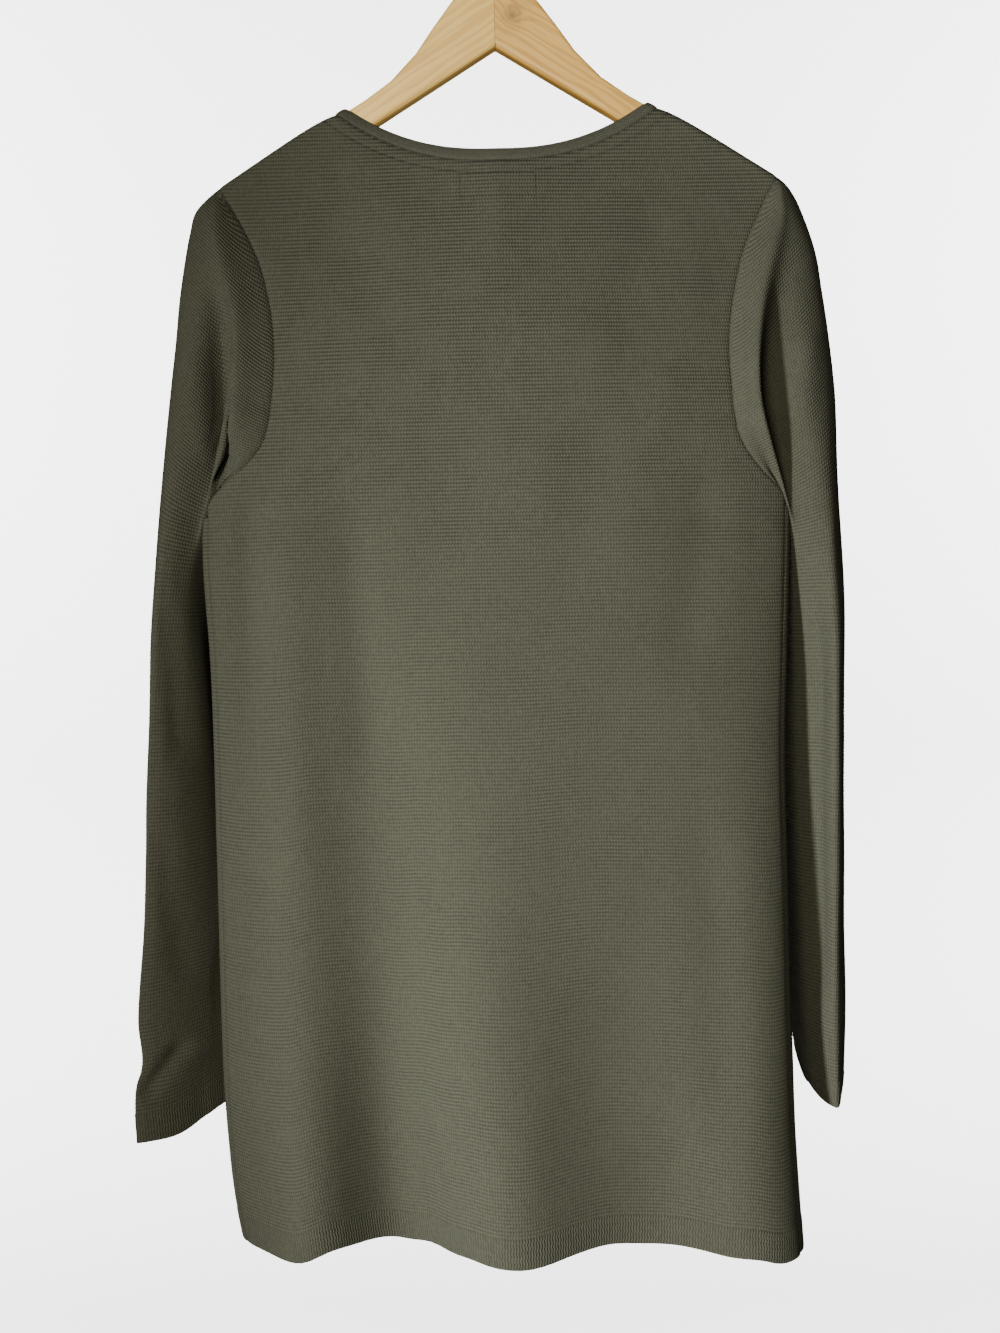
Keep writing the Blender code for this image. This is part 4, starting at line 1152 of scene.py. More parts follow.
@dataclass
class NeckBand:
    """The narrow smooth band round the neck, a little thicker than the knit."""

    body: BodyForm
    quarter_columns: int = 48
    rows: int = 16
    swell: float = 0.0006
    swell_power: float = 0.6
    edge_drop: float = 0.0004
    border_place: float = 0.2

    def grid(self) -> Grid:
        """Work out the fine grid, from the right front round the back to the left front."""
        body = self.body
        start = body.front_edge_top / body.shoulder_start
        back = np.sin(np.linspace(0, math.pi / 2, self.quarter_columns + 1))
        front = start + (1 - start) * back
        places = [(-float(x), Face.FRONT) for x in front[:-1]]
        places += [(-float(x), Face.BACK) for x in back[:0:-1]]
        places += [(float(x), Face.BACK) for x in back]
        places += [(float(x), Face.FRONT) for x in front[-2::-1]]
        points, normals = [], []
        stops = np.linspace(0, 1, self.rows + 1)
        for stop in stops:
            width = body.neck_seam + (body.band_width - body.neck_seam) * float(stop)
            for across, face in places:
                turn, height = body.neck_place(across, width, face)
                point, normal = body.point(turn, height), body.normal(turn, height)
                if abs(across) == 1.0:
                    point[1] = 0
                    normal = body.ridge_normal(np.array(math.copysign(body.shoulder_start, across)))
                points.append(point)
                normals.append(normal)
        shape = (len(stops), len(places), 3)
        grid_points = np.array(points).reshape(shape)
        grid_normals = np.array(normals).reshape(shape)
        grid_points = self.settle(grid_points)
        profile = np.sin(np.pi * stops) ** self.swell_power * self.swell
        profile[0] -= self.edge_drop
        grid_points = grid_points + grid_normals * profile[:, None, None]
        across = arc_length(grid_points, 1)
        along = self.border_place + arc_length(grid_points, 0)
        apart = np.full(shape[:2], NO_SEAM)
        return Grid(grid_points, grid_normals, across, along, apart, apart, np.zeros(shape[:2]))

    @staticmethod
    def settle(points: Array) -> Array:
        """Even out the tiny jumps beside the shoulder seams."""
        smooth = points.copy()
        smooth[:, 1:-1] = (points[:, :-2] + 2 * points[:, 1:-1] + points[:, 2:]) / 4
        return smooth


class Tree:
    """A short way to lay out the nodes of a material or a group."""

    def __init__(self, tree: bpy.types.NodeTree) -> None:
        self.tree = tree
        self.count = 0

    def node(self, kind: str, **settings) -> bpy.types.Node:
        """Add a node and set its properties."""
        made = self.tree.nodes.new(kind)
        made.location = (220 * (self.count % 12), -240 * (self.count // 12))
        self.count += 1
        for name, value in settings.items():
            setattr(made, name, value)
        return made

    def feed(self, socket: bpy.types.NodeSocket, value) -> None:
        """Link a socket to another one, or set its value."""
        if isinstance(value, bpy.types.NodeSocket):
            self.tree.links.new(value, socket)
        else:
            socket.default_value = value

    def math(self, operation: str, *values) -> bpy.types.NodeSocket:
        """Add a maths node on one to three values."""
        made = self.node("ShaderNodeMath", operation=operation)
        for socket, value in zip(made.inputs, values):
            self.feed(socket, value)
        return made.outputs[0]

    def product(self, first, *others) -> bpy.types.NodeSocket:
        """Multiply two or more values."""
        for value in others:
            first = self.math("MULTIPLY", first, value)
        return first

    def line(self, value, slope: float, start: float) -> bpy.types.NodeSocket:
        """A straight line: the value times a slope, from a start."""
        return self.math("MULTIPLY_ADD", value, slope, start)

    def split(self, vector) -> bpy.types.NodeOutputs:
        """The three parts of a vector."""
        made = self.node("ShaderNodeSeparateXYZ")
        self.feed(made.inputs[0], vector)
        return made.outputs

    def stretched(self, vector, by: tuple[float, float, float]) -> bpy.types.NodeSocket:
        """Stretch a vector along each axis."""
        made = self.node("ShaderNodeVectorMath", operation="MULTIPLY")
        self.feed(made.inputs[0], vector)
        made.inputs[1].default_value = by
        return made.outputs[0]

    def normal(self, height) -> bpy.types.NodeSocket:
        """The shading normal over a height in metres."""
        made = self.node("ShaderNodeBump")
        made.inputs["Strength"].default_value = 1.0
        made.inputs["Distance"].default_value = 1.0
        self.feed(made.inputs["Height"], height)
        return made.outputs[0]

    def filled(self, group: "Group", **given) -> bpy.types.NodeOutputs:
        """Add a group's node with its inputs, named with underscores for spaces."""
        made = self.node("ShaderNodeGroup", node_tree=group.tree)
        for name, value in given.items():
            self.feed(made.inputs[name.replace("_", " ")], value)
        return made.outputs

    def rise(self, value, start: float, end: float, low: float = 0.0,
             high: float = 1.0) -> bpy.types.NodeSocket:
        """A smooth rise of one value between two limits."""
        made = self.node("ShaderNodeMapRange", interpolation_type="SMOOTHSTEP")
        for name, given in (("Value", value), ("From Min", start), ("From Max", end),
                            ("To Min", low), ("To Max", high)):
            self.feed(made.inputs[name], given)
        return made.outputs["Result"]

    def wave(self, value, pitch) -> bpy.types.NodeSocket:
        """A smooth wave from 0 to 1 that repeats at a pitch."""
        turn = self.math("MULTIPLY", self.math("DIVIDE", value, pitch), 2 * math.pi)
        return self.line(self.math("COSINE", turn), -0.5, 0.5)

    def noise(self, vector, scale: float, detail: float = 2.0,
              roughness: float = 0.5) -> bpy.types.NodeSocket:
        """A soft noise from 0 to 1."""
        made = self.node("ShaderNodeTexNoise")
        self.feed(made.inputs["Vector"], vector)
        made.inputs["Scale"].default_value = scale
        made.inputs["Detail"].default_value = detail
        made.inputs["Roughness"].default_value = roughness
        return made.outputs["Fac"]

    def blend(self, share, first, second, way: str = "MIX") -> bpy.types.NodeSocket:
        """Mix two colours, each a socket or three parts."""
        made = self.node("ShaderNodeMix", data_type="RGBA", blend_type=way)
        sockets = [socket for socket in made.inputs if socket.type == "RGBA"]
        self.feed(made.inputs[0], share)
        for socket, colour in zip(sockets, (first, second)):
            self.feed(socket, (*colour, 1.0) if isinstance(colour, tuple) else colour)
        return next(socket for socket in made.outputs if socket.type == "RGBA")

    def bell(self, value, middle: float, width: float) -> bpy.types.NodeSocket:
        """A bell-shaped rise round a value."""
        away = self.math("DIVIDE", self.math("SUBTRACT", value, middle), width)
        return self.math("EXPONENT", self.math("MULTIPLY", self.math("MULTIPLY", away, away), -1.0))


class Group:
    """A reusable shader node group with named inputs and outputs."""

    def __init__(self, name: str, inputs: dict[str, tuple[str, object]], outputs: dict[str, str]):
        self.tree = bpy.data.node_groups.new(name, "ShaderNodeTree")
        for label, (kind, value) in inputs.items():
            socket = self.tree.interface.new_socket(name=label, in_out="INPUT", socket_type=kind)
            if value is not None:
                socket.default_value = value
        for label, kind in outputs.items():
            self.tree.interface.new_socket(name=label, in_out="OUTPUT", socket_type=kind)
        self.lay = Tree(self.tree)
        self.source = self.lay.node("NodeGroupInput").outputs
        self.result = self.lay.node("NodeGroupOutput").inputs

    def give(self, label: str, value) -> None:
        """Connect one of the group's outputs."""
        self.lay.feed(self.result[label], value)


@dataclass(frozen=True)
class PurlLook:
    """The small forms and tones of the knit.

    A noise is given by its scale, detail and roughness, a rise by its limits, and a shade by its
    slope and its start. Heights are in metres. The ridge and loop shades are painted shade: the
    colour darkens in the valleys between the ridges and between the loops of the stitches.
    """

    sway_noise: tuple[float, ...] = (60.0, 2.0)
    sway: float = 0.0016
    row_shift: float = 0.0004
    border_rise: tuple[float, ...] = (0.96, 1.02)
    border_strength: tuple[float, float] = (0.82, 0.18)
    uneven_noise: tuple[float, ...] = (75.0, 3.0, 0.6)
    uneven_height: float = 0.00022
    uneven_shade: tuple[float, float] = (0.20, 0.90)
    fibre_noise: tuple[float, ...] = (1500.0, 3.0, 0.65)
    fibre_height: float = 0.00009
    faded_noise: tuple[float, ...] = (45.0, 2.0)
    faded_rise: tuple[float, ...] = (0.35, 0.65, 0.55, 1.15)
    loop_height: float = 0.00030
    # painted shade: the colour darkens between the loops of the stitches
    loop_painted_shade: tuple[float, float] = (0.44, 0.72)
    rib_height: float = 0.00018
    # painted shade: the colour darkens in the valleys between the purl ridges
    ridge_painted_shade: tuple[float, float] = (0.50, 0.80)
    stitch_noise: tuple[float, ...] = (430.0, 2.0, 0.6)
    stitch_shade: tuple[float, float] = (0.90, 0.55)
    patch_noise: tuple[float, ...] = (9.0, 2.0)
    patch_shade: tuple[float, float] = (0.12, 0.94)


def purl_group(look: PurlLook = PurlLook()) -> Group:
    """Build the group for fine purl knit: its ridges, stitches, border and fibres.

    Args:
        look: the small forms and tones of the knit.

    Returns:
        A group whose height is in metres and whose shade runs from dark to light, with painted
        shade in the valleys between the ridges and between the loops of the stitches.
    """
    number = "NodeSocketFloat"
    group = Group(
        "Purl knit",
        {
            "Place": ("NodeSocketVector", None), "Across": (number, 0.0), "Along": (number, 0.0),
            "Raised": (number, 0.0), "Ridge Pitch": (number, 0.00265), "Wale Pitch": (number, 0.002),
            "Ridge Height": (number, 0.0003), "Border": (number, 0.0215), "Stitch": (number, 1.0),
        },
        {"Shade": number, "Height": number, "Fuzz": number, "Border Mask": number},
    )
    lay, given = group.lay, group.source
    place, along = given["Place"], given["Along"]
    ridge = lay.wave(along, given["Ridge Pitch"])
    sway = lay.math("MULTIPLY_ADD", lay.noise(place, *look.sway_noise), look.sway, given["Across"])
    rows = lay.math("FLOOR", lay.math("DIVIDE", along, given["Ridge Pitch"]))
    shifted = lay.math("MULTIPLY_ADD", lay.math("MODULO", rows, 2.0), look.row_shift, sway)
    wale = lay.wave(shifted, given["Wale Pitch"])
    border = lay.rise(lay.math("DIVIDE", along, given["Border"]), *look.border_rise)
    uneven = lay.noise(place, *look.uneven_noise)
    fibres = lay.noise(place, *look.fibre_noise)
    faded = lay.rise(lay.noise(place, *look.faded_noise), *look.faded_rise)
    strength = lay.product(lay.line(border, *look.border_strength), faded)
    flat = lay.product(lay.math("SUBTRACT", 1.0, given["Raised"]), strength)
    raised = lay.product(ridge, flat, given["Ridge Height"])
    stitches = lay.product(ridge, wale, look.loop_height, given["Stitch"])
    ribs = lay.product(lay.math("SUBTRACT", 1.0, border), lay.product(wale, look.rib_height))
    fuzz = lay.product(fibres, look.fibre_height)
    height = lay.math("ADD", lay.math("ADD", raised, stitches), lay.math("ADD", ribs, fuzz))
    bumps = lay.product(uneven, border)
    group.give("Height", lay.math("MULTIPLY_ADD", bumps, look.uneven_height, height))
    # Painted shade: the colour darkens in the ridge valleys and between the loops; the other tones vary at
    # random
    lines = lay.line(lay.product(lay.math("SUBTRACT", ridge, 0.5), strength), *look.ridge_painted_shade)
    loops = lay.line(wale, *look.loop_painted_shade)
    mottled = lay.line(uneven, *look.uneven_shade)
    apart = lay.line(lay.noise(place, *look.stitch_noise), *look.stitch_shade)
    patches = lay.line(lay.noise(place, *look.patch_noise), *look.patch_shade)
    group.give("Shade", lay.product(lines, loops, mottled, apart, patches))
    group.give("Fuzz", fibres)
    group.give("Border Mask", border)
    return group


def outline_group(dash_pitch: float = 0.0022, dash_rise: tuple[float, float] = (0.15, 0.5)) -> Group:
    """Build the group for a stitched rectangle pressed into cloth, measured across X and Z."""
    number = "NodeSocketFloat"
    group = Group(
        "Stitched outline",
        {
            "Place": ("NodeSocketVector", None), "Middle X": (number, 0.0), "Middle Z": (number, 0.0),
            "Half Width": (number, 0.026), "Half Height": (number, 0.008), "Line": (number, 0.0006),
        },
        {"Mask": number},
    )
    lay, given = group.lay, group.source
    x, _, z = lay.split(given["Place"])
    x = lay.math("ABSOLUTE", lay.math("SUBTRACT", x, given["Middle X"]))
    z = lay.math("ABSOLUTE", lay.math("SUBTRACT", z, given["Middle Z"]))
    out_x = lay.math("SUBTRACT", x, given["Half Width"])
    out_z = lay.math("SUBTRACT", z, given["Half Height"])
    line = lay.bell(lay.math("MAXIMUM", out_x, out_z), 0.0, given["Line"])
    dashes = lay.rise(lay.wave(lay.math("ADD", x, z), dash_pitch), *dash_rise)
    group.give("Mask", lay.product(line, dashes))
    return group


@dataclass(frozen=True)
class GrainLook:
    """The forms of the grain, with each noise given by its scale, detail and roughness."""

    broad_stretch: tuple[float, float, float] = (6.0, 60.0, 60.0)
    broad_noise: tuple[float, ...] = (1.6, 3.0, 0.6)
    broad_bend: float = 0.020
    broad_share: float = 0.45
    knot_bend: float = 0.016
    ring_power: float = 1.8
    ring_share: float = 0.55
    pore_stretch: tuple[float, float, float] = (14.0, 700.0, 700.0)
    pore_noise: tuple[float, ...] = (1.0, 4.0, 0.7)


def grain_group(look: GrainLook = GrainLook()) -> Group:
    """Build the group for straight wood grain with a knot, along any direction in the XZ plane."""
    number = "NodeSocketFloat"
    group = Group(
        "Wood grain",
        {
            "Place": ("NodeSocketVector", None), "Turn": (number, 0.0), "Rings": (number, 300.0),
            "Knot X": (number, FAR_OFF), "Knot Z": (number, FAR_OFF), "Knot Size": (number, 0.006),
        },
        {"Grain": number, "Pores": number, "Knot": number},
    )
    lay, given = group.lay, group.source
    turned = lay.node("ShaderNodeVectorRotate", rotation_type="Y_AXIS")
    lay.feed(turned.inputs["Vector"], given["Place"])
    lay.feed(turned.inputs["Angle"], given["Turn"])
    x, _, z = lay.split(given["Place"])
    away_x = lay.math("SUBTRACT", x, given["Knot X"])
    away_z = lay.math("SUBTRACT", z, given["Knot Z"])
    squares = lay.math("ADD", lay.product(away_x, away_x), lay.product(away_z, away_z))
    apart = lay.math("DIVIDE", lay.math("SQRT", squares), given["Knot Size"])
    knot = lay.math("EXPONENT", lay.product(apart, -1.0))
    broad = lay.noise(lay.stretched(turned.outputs[0], look.broad_stretch), *look.broad_noise)
    bent = lay.math("MULTIPLY_ADD", broad, look.broad_bend, lay.split(turned.outputs[0])[2])
    bent = lay.math("MULTIPLY_ADD", knot, look.knot_bend, bent)
    rings = lay.wave(bent, lay.math("DIVIDE", 1.0, given["Rings"]))
    rings = lay.math("POWER", rings, look.ring_power)
    pores = lay.noise(lay.stretched(turned.outputs[0], look.pore_stretch), *look.pore_noise)
    broad = lay.product(broad, look.broad_share)
    group.give("Grain", lay.math("MULTIPLY_ADD", rings, look.ring_share, broad))
    group.give("Pores", pores)
    group.give("Knot", knot)
    return group


def principled(name: str) -> tuple[bpy.types.Material, Tree, bpy.types.Node]:
    """Start a material with its Principled BSDF."""
    material = bpy.data.materials.new(name)
    material.use_nodes = True
    lay = Tree(material.node_tree)
    return material, lay, material.node_tree.nodes["Principled BSDF"]


@dataclass(frozen=True)
class KnitFinish:
    """The colours and surface of one kind of knit."""

    name: str
    light: tuple[float, float, float] = (0.098, 0.094, 0.060)
    dark: tuple[float, float, float] = (0.012, 0.0108, 0.0055)
    roughness: float = 0.88
    sheen: float = 0.04
    stitch: float = 1.0
    border: float = 0.0215
    # painted shade: the colour darkens along each seam, in its groove
    seam_painted_shade: tuple[float, ...] = (0.0001, 0.0016, 0.78, 1.0)
    facing_line: float = 0.0082
    facing_width: float = 0.0011
    # painted shade along the pressed line below the neck band
    facing_painted_shade: float = -0.16
    facing_depth: float = -0.0004
    fold_width: float = 0.0016
    # painted shade along the neck seam, where the panel meets the band
    fold_painted_shade: float = -0.30
    fold_depth: float = -0.0007
    outline_shade: float = -0.13
    outline_depth: float = -0.0004
    fluff: tuple[float, float] = (0.30, 0.85)
    fluff_roughness: float = 0.12
    outline_middle: tuple[float, float] = (-0.0002, -0.2053)
    outline_half: tuple[float, float] = (0.0262, 0.0080)
    marked: bool = False

    def material(self, purl: Group, outline: Group, knit: Knit) -> bpy.types.Material:
        """Make the material.

        Args:
            purl: the knit's group.
            outline: the group for the stitched rectangle at the neck.
            knit: the gauge.

        Returns:
            The material.
        """
        material, lay, shader = principled(self.name)
        place = lay.node("ShaderNodeTexCoord").outputs["Object"]
        chart = lay.split(lay.node("ShaderNodeUVMap", uv_map="knit").outputs["UV"])
        raised, seam, neck = (
            lay.node("ShaderNodeAttribute", attribute_name=name).outputs["Fac"]
            for name in ("raised", "seam", "neck")
        )
        fabric = lay.filled(
            purl, Place=place, Across=chart[0], Along=chart[1], Raised=raised, Ridge_Pitch=knit.ridge_pitch,
            Wale_Pitch=knit.wale_pitch, Ridge_Height=knit.ridge_height, Border=self.border,
            Stitch=self.stitch,
        )
        # Painted shade: the colour darkens along the seams, along the pressed line below the neck band and
        # along the neck seam
        edge = lay.rise(seam, *self.seam_painted_shade)
        line = lay.bell(neck, self.facing_line, self.facing_width)
        fold = lay.bell(neck, 0.0, self.fold_width)
        shade = lay.product(
            fabric["Shade"], edge, lay.line(line, self.facing_painted_shade, 1.0),
            lay.line(fold, self.fold_painted_shade, 1.0),
        )
        height = lay.math("MULTIPLY_ADD", line, self.facing_depth, fabric["Height"])
        height = lay.math("MULTIPLY_ADD", fold, self.fold_depth, height)
        if self.marked:
            (middle_x, middle_z), (half_width, half_height) = self.outline_middle, self.outline_half
            mask = lay.filled(
                outline, Place=place, Middle_X=middle_x, Middle_Z=middle_z, Half_Width=half_width,
                Half_Height=half_height,
            )["Mask"]
            shade = lay.product(shade, lay.line(mask, self.outline_shade, 1.0))
            height = lay.math("MULTIPLY_ADD", mask, self.outline_depth, height)
        fluff = lay.node("ShaderNodeCombineColor")
        for socket in fluff.inputs:
            lay.feed(socket, lay.line(fabric["Fuzz"], *self.fluff))
        colour = lay.blend(1.0, lay.blend(shade, self.dark, self.light), fluff.outputs[0], "MULTIPLY")
        lay.feed(shader.inputs["Base Color"], colour)
        rough = lay.line(fabric["Fuzz"], self.fluff_roughness, self.roughness - self.fluff_roughness / 2)
        lay.feed(shader.inputs["Roughness"], rough)
        lay.feed(shader.inputs["Normal"], lay.normal(height))
        shader.inputs["Sheen Weight"].default_value = self.sheen
        shader.inputs["Sheen Roughness"].default_value = 0.5
        shader.inputs["Sheen Tint"].default_value = (0.62, 0.60, 0.48, 1.0)
        shader.inputs["Specular IOR Level"].default_value = 0.22
        return material


@dataclass(frozen=True)
class WoodFinish:
    """The wood of one arm of the hanger."""

    name: str
    turn: float
    light: tuple[float, float, float]
    dark: tuple[float, float, float]
    rings: float = 150.0
    knot: tuple[float, float] = (FAR_OFF, FAR_OFF)
    knot_colour: tuple[float, float, float] = (0.17, 0.085, 0.035)
    knot_share: float = 0.85
    pore_rise: tuple[float, ...] = (0.54, 0.76, 0.0, 0.26)
    pore_shade: float = 0.72
    pore_height: float = 0.00008
    pore_roughness: tuple[float, float] = (0.22, 0.34)

    def material(self, grain: Group) -> bpy.types.Material:
        """Make the material."""
        material, lay, shader = principled(self.name)
        place = lay.node("ShaderNodeTexCoord").outputs["Object"]
        wood = lay.filled(
            grain, Place=place, Turn=self.turn, Rings=self.rings, Knot_X=self.knot[0], Knot_Z=self.knot[1]
        )
        pores = lay.rise(wood["Pores"], *self.pore_rise)
        colour = lay.blend(wood["Grain"], self.light, self.dark)
        colour = lay.blend(pores, colour, tuple(self.pore_shade * value for value in self.dark))
        colour = lay.blend(lay.product(wood["Knot"], self.knot_share), colour, self.knot_colour)
        lay.feed(shader.inputs["Base Color"], colour)
        lay.feed(shader.inputs["Roughness"], lay.line(wood["Pores"], *self.pore_roughness))
        lay.feed(shader.inputs["Normal"], lay.normal(lay.product(wood["Pores"], self.pore_height)))
        shader.inputs["Specular IOR Level"].default_value = 0.35
        return material


@dataclass(frozen=True)
class MetalFinish:
    """The plated wire of the hook."""

    name: str = "Plated hook wire"
    colour: tuple[float, float, float] = (0.66, 0.66, 0.67)
    roughness: float = 0.17
    worn_noise: tuple[float, ...] = (240.0, 4.0, 0.6)
    worn_rise: tuple[float, float] = (0.45, 0.75)
    worn_shade: float = 0.72
    worn_roughness: tuple[float, float] = (0.16, -0.05)

    def material(self) -> bpy.types.Material:
        """Make the material."""
        material, lay, shader = principled(self.name)
        place = lay.node("ShaderNodeTexCoord").outputs["Object"]
        worn = lay.noise(place, *self.worn_noise)
        dark = tuple(self.worn_shade * value for value in self.colour)
        colour = lay.blend(lay.rise(worn, *self.worn_rise), self.colour, dark)
        lay.feed(shader.inputs["Base Color"], colour)
        slope, start = self.worn_roughness
        lay.feed(shader.inputs["Roughness"], lay.line(worn, slope, self.roughness + start))
        shader.inputs["Metallic"].default_value = 1.0
        return material


@dataclass
class Hanger:
    """The wooden hanger, whose solids stay and take finer materials, and the glue in its joint."""

    left: str = "hanger_arm_left"
    right: str = "hanger_arm_right"
    hook: str = "hanger_hook"
    glue_thickness: float = 0.0004
    glue_depth: float = 0.0116
    glue_back: float = 0.0006
    glue_colour: tuple[float, float, float, float] = (0.12, 0.065, 0.028, 1.0)
    joint_reach: float = 0.001

    def dress(self, nodes: dict, grain: Group) -> list[bpy.types.Object]:
        """Give the arms and the hook their finishes, and fill the joint.

        Args:
            nodes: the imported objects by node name.
            grain: the group for wood grain.

        Returns:
            The arms, the hook and the glue.
        """
        finishes = {
            self.left: WoodFinish(
                "Pale wood, left arm", math.radians(-33), (0.84, 0.56, 0.155), (0.62, 0.36, 0.080)
            ).material(grain),
            self.right: WoodFinish(
                "Pale wood, right arm", math.radians(34), (0.80, 0.485, 0.115), (0.50, 0.255, 0.050),
                190.0, (-0.0125, -0.0865),
            ).material(grain),
            self.hook: MetalFinish().material(),
        }
        for name, material in finishes.items():
            thing = nodes[name]
            thing.data.materials.clear()
            thing.data.materials.append(material)
            thing.data.polygons.foreach_set("use_smooth", [True] * len(thing.data.polygons))
        return [*(nodes[name] for name in finishes), self.joint(nodes)]

    def joint(self, nodes: dict) -> bpy.types.Object:
        """Fill the fine gap where the two arms meet with a thin dark layer of glue.

        Args:
            nodes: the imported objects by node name.

        Returns:
            The layer of glue.
        """
        verts = nodes[self.left].data.vertices
        heights = [vert.co.z for vert in verts if abs(vert.co.x) < self.joint_reach]
        low, high = min(heights), max(heights)
        bpy.ops.object.select_all(action="DESELECT")
        bpy.ops.mesh.primitive_cube_add(size=1.0)
        layer = bpy.context.object
        layer.name = "hanger_glue"
        bpy.ops.object.mode_set(mode="EDIT")
        bpy.ops.mesh.select_all(action="SELECT")
        bpy.ops.transform.resize(value=(self.glue_thickness, self.glue_depth, high - low - self.glue_back))
        bpy.ops.transform.translate(value=(0.0, 0.0, (low + high) / 2))
        bpy.ops.object.mode_set(mode="OBJECT")
        material, _, shader = principled("Dark glue line")
        shader.inputs["Base Color"].default_value = self.glue_colour
        shader.inputs["Roughness"].default_value = 0.6
        layer.data.materials.append(material)
        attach(layer, "root")
        return layer


@dataclass
class Piece:
    """One piece of the garment: its grid, its finish and the flat cloth it is cut from."""

    grid: Grid
    finish: KnitFinish
    flat: tuple[float, float]
    area: float
    rows_inside: int = ROWS_INSIDE


@dataclass
class Cardigan:
    """The whole knitted garment."""

    body: BodyForm = field(default_factory=BodyForm)
    knit: Knit = field(default_factory=Knit)
    left_creases: tuple[Crease, ...] = (
        Crease((0.2800, -0.858), (0.2420, -0.812), 0.0050, -0.0042),
        Crease((0.2430, -0.470), (0.2380, -0.620), 0.0060, -0.0022),
        Crease((0.2560, -0.640), (0.2440, -0.780), 0.0070, -0.0020),
        Crease((0.2180, -0.300), (0.2120, -0.400), 0.0050, 0.0016),
        Crease((0.2150, -0.440), (0.2050, -0.830), 0.0046, -0.0085),
        Crease((0.1950, -0.262), (0.1990, -0.425), 0.0052, -0.0080),
        Crease((0.2450, -0.500), (0.2360, -0.670), 0.0060, -0.0026, Face.FRONT),
        Crease((0.2580, -0.730), (0.2440, -0.800), 0.0055, -0.0022, Face.FRONT),
    )
    right_creases: tuple[Crease, ...] = (
        Crease((-0.2340, -0.455), (-0.2310, -0.850), 0.0044, 0.0018),
        Crease((-0.2180, -0.460), (-0.2160, -0.850), 0.0068, -0.0100),
        Crease((-0.2160, -0.300), (-0.2100, -0.400), 0.0050, 0.0016),
        Crease((-0.2300, -0.520), (-0.2240, -0.720), 0.0060, -0.0030, Face.FRONT),
        Crease((-0.2180, -0.300), (-0.2240, -0.420), 0.0060, -0.0022, Face.FRONT),
    )

    def pieces(self) -> dict[str, Piece]:
        """Work out each piece by its node's name."""
        body, knit = self.body, self.knit
        plain = KnitFinish("Olive purl knit")
        marked = KnitFinish("Olive purl knit with pressed neck lines", marked=True)
        band = KnitFinish(
            "Smooth neck band knit", light=(0.100, 0.096, 0.062), dark=(0.018, 0.0165, 0.010), stitch=0.5,
            border=1.0,
        )
        sleeve_left = Sleeve(
            Side.LEFT, body, knit, creases=self.left_creases, cuff_dips=((0.252, 0.012, 0.0055),)
        )
        sleeve_right = Sleeve(Side.RIGHT, body, knit, creases=self.right_creases)
        back = Panel(Face.BACK, None, body, knit)
        front_left = Panel(Face.FRONT, Side.LEFT, body, knit)
        front_right = Panel(Face.FRONT, Side.RIGHT, body, knit)
        return {
            "back_panel": Piece(back.grid(), marked, (0.50, 0.82), 0.325),
            "front_left": Piece(front_left.grid(), plain, (0.26, 0.82), 0.168),
            "front_right": Piece(front_right.grid(), plain, (0.26, 0.82), 0.162),
            "sleeve_left": Piece(sleeve_left.grid(), plain, (0.26, 0.70), 0.150),
            "sleeve_right": Piece(sleeve_right.grid(), plain, (0.26, 0.70), 0.150),
            "neck_band": Piece(NeckBand(body).grid(), band, (0.0105, 0.69), 0.0054, 4),
        }

    def build(self) -> dict[str, bpy.types.Object]:
        """Returns:
            The pieces by their node's name.
        """
        made: dict[str, bpy.types.Object] = {}
        purl, outline = purl_group(), outline_group()
        materials: dict[str, bpy.types.Material] = {}
        for name, piece in self.pieces().items():
            wall = ClothWall(f"{name}_knit", piece.grid, self.knit, rows_inside=piece.rows_inside)
            thing = wall.build()
            finish = piece.finish
            if finish.name not in materials:
                materials[finish.name] = finish.material(purl, outline, self.knit)
            thing.data.materials.append(materials[finish.name])
            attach(thing, "root")
            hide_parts(name)
            made[name] = thing
        return made


@dataclass(frozen=True)
class Lamp:
    """A soft round lamp, which shines on everything or on one named group alone."""

    name: str
    place: tuple[float, float, float]
    aim: tuple[float, float, float]
    size: float
    power: float
    colour: tuple[float, float, float] = (1.0, 1.0, 1.0)
    lit: str = ""


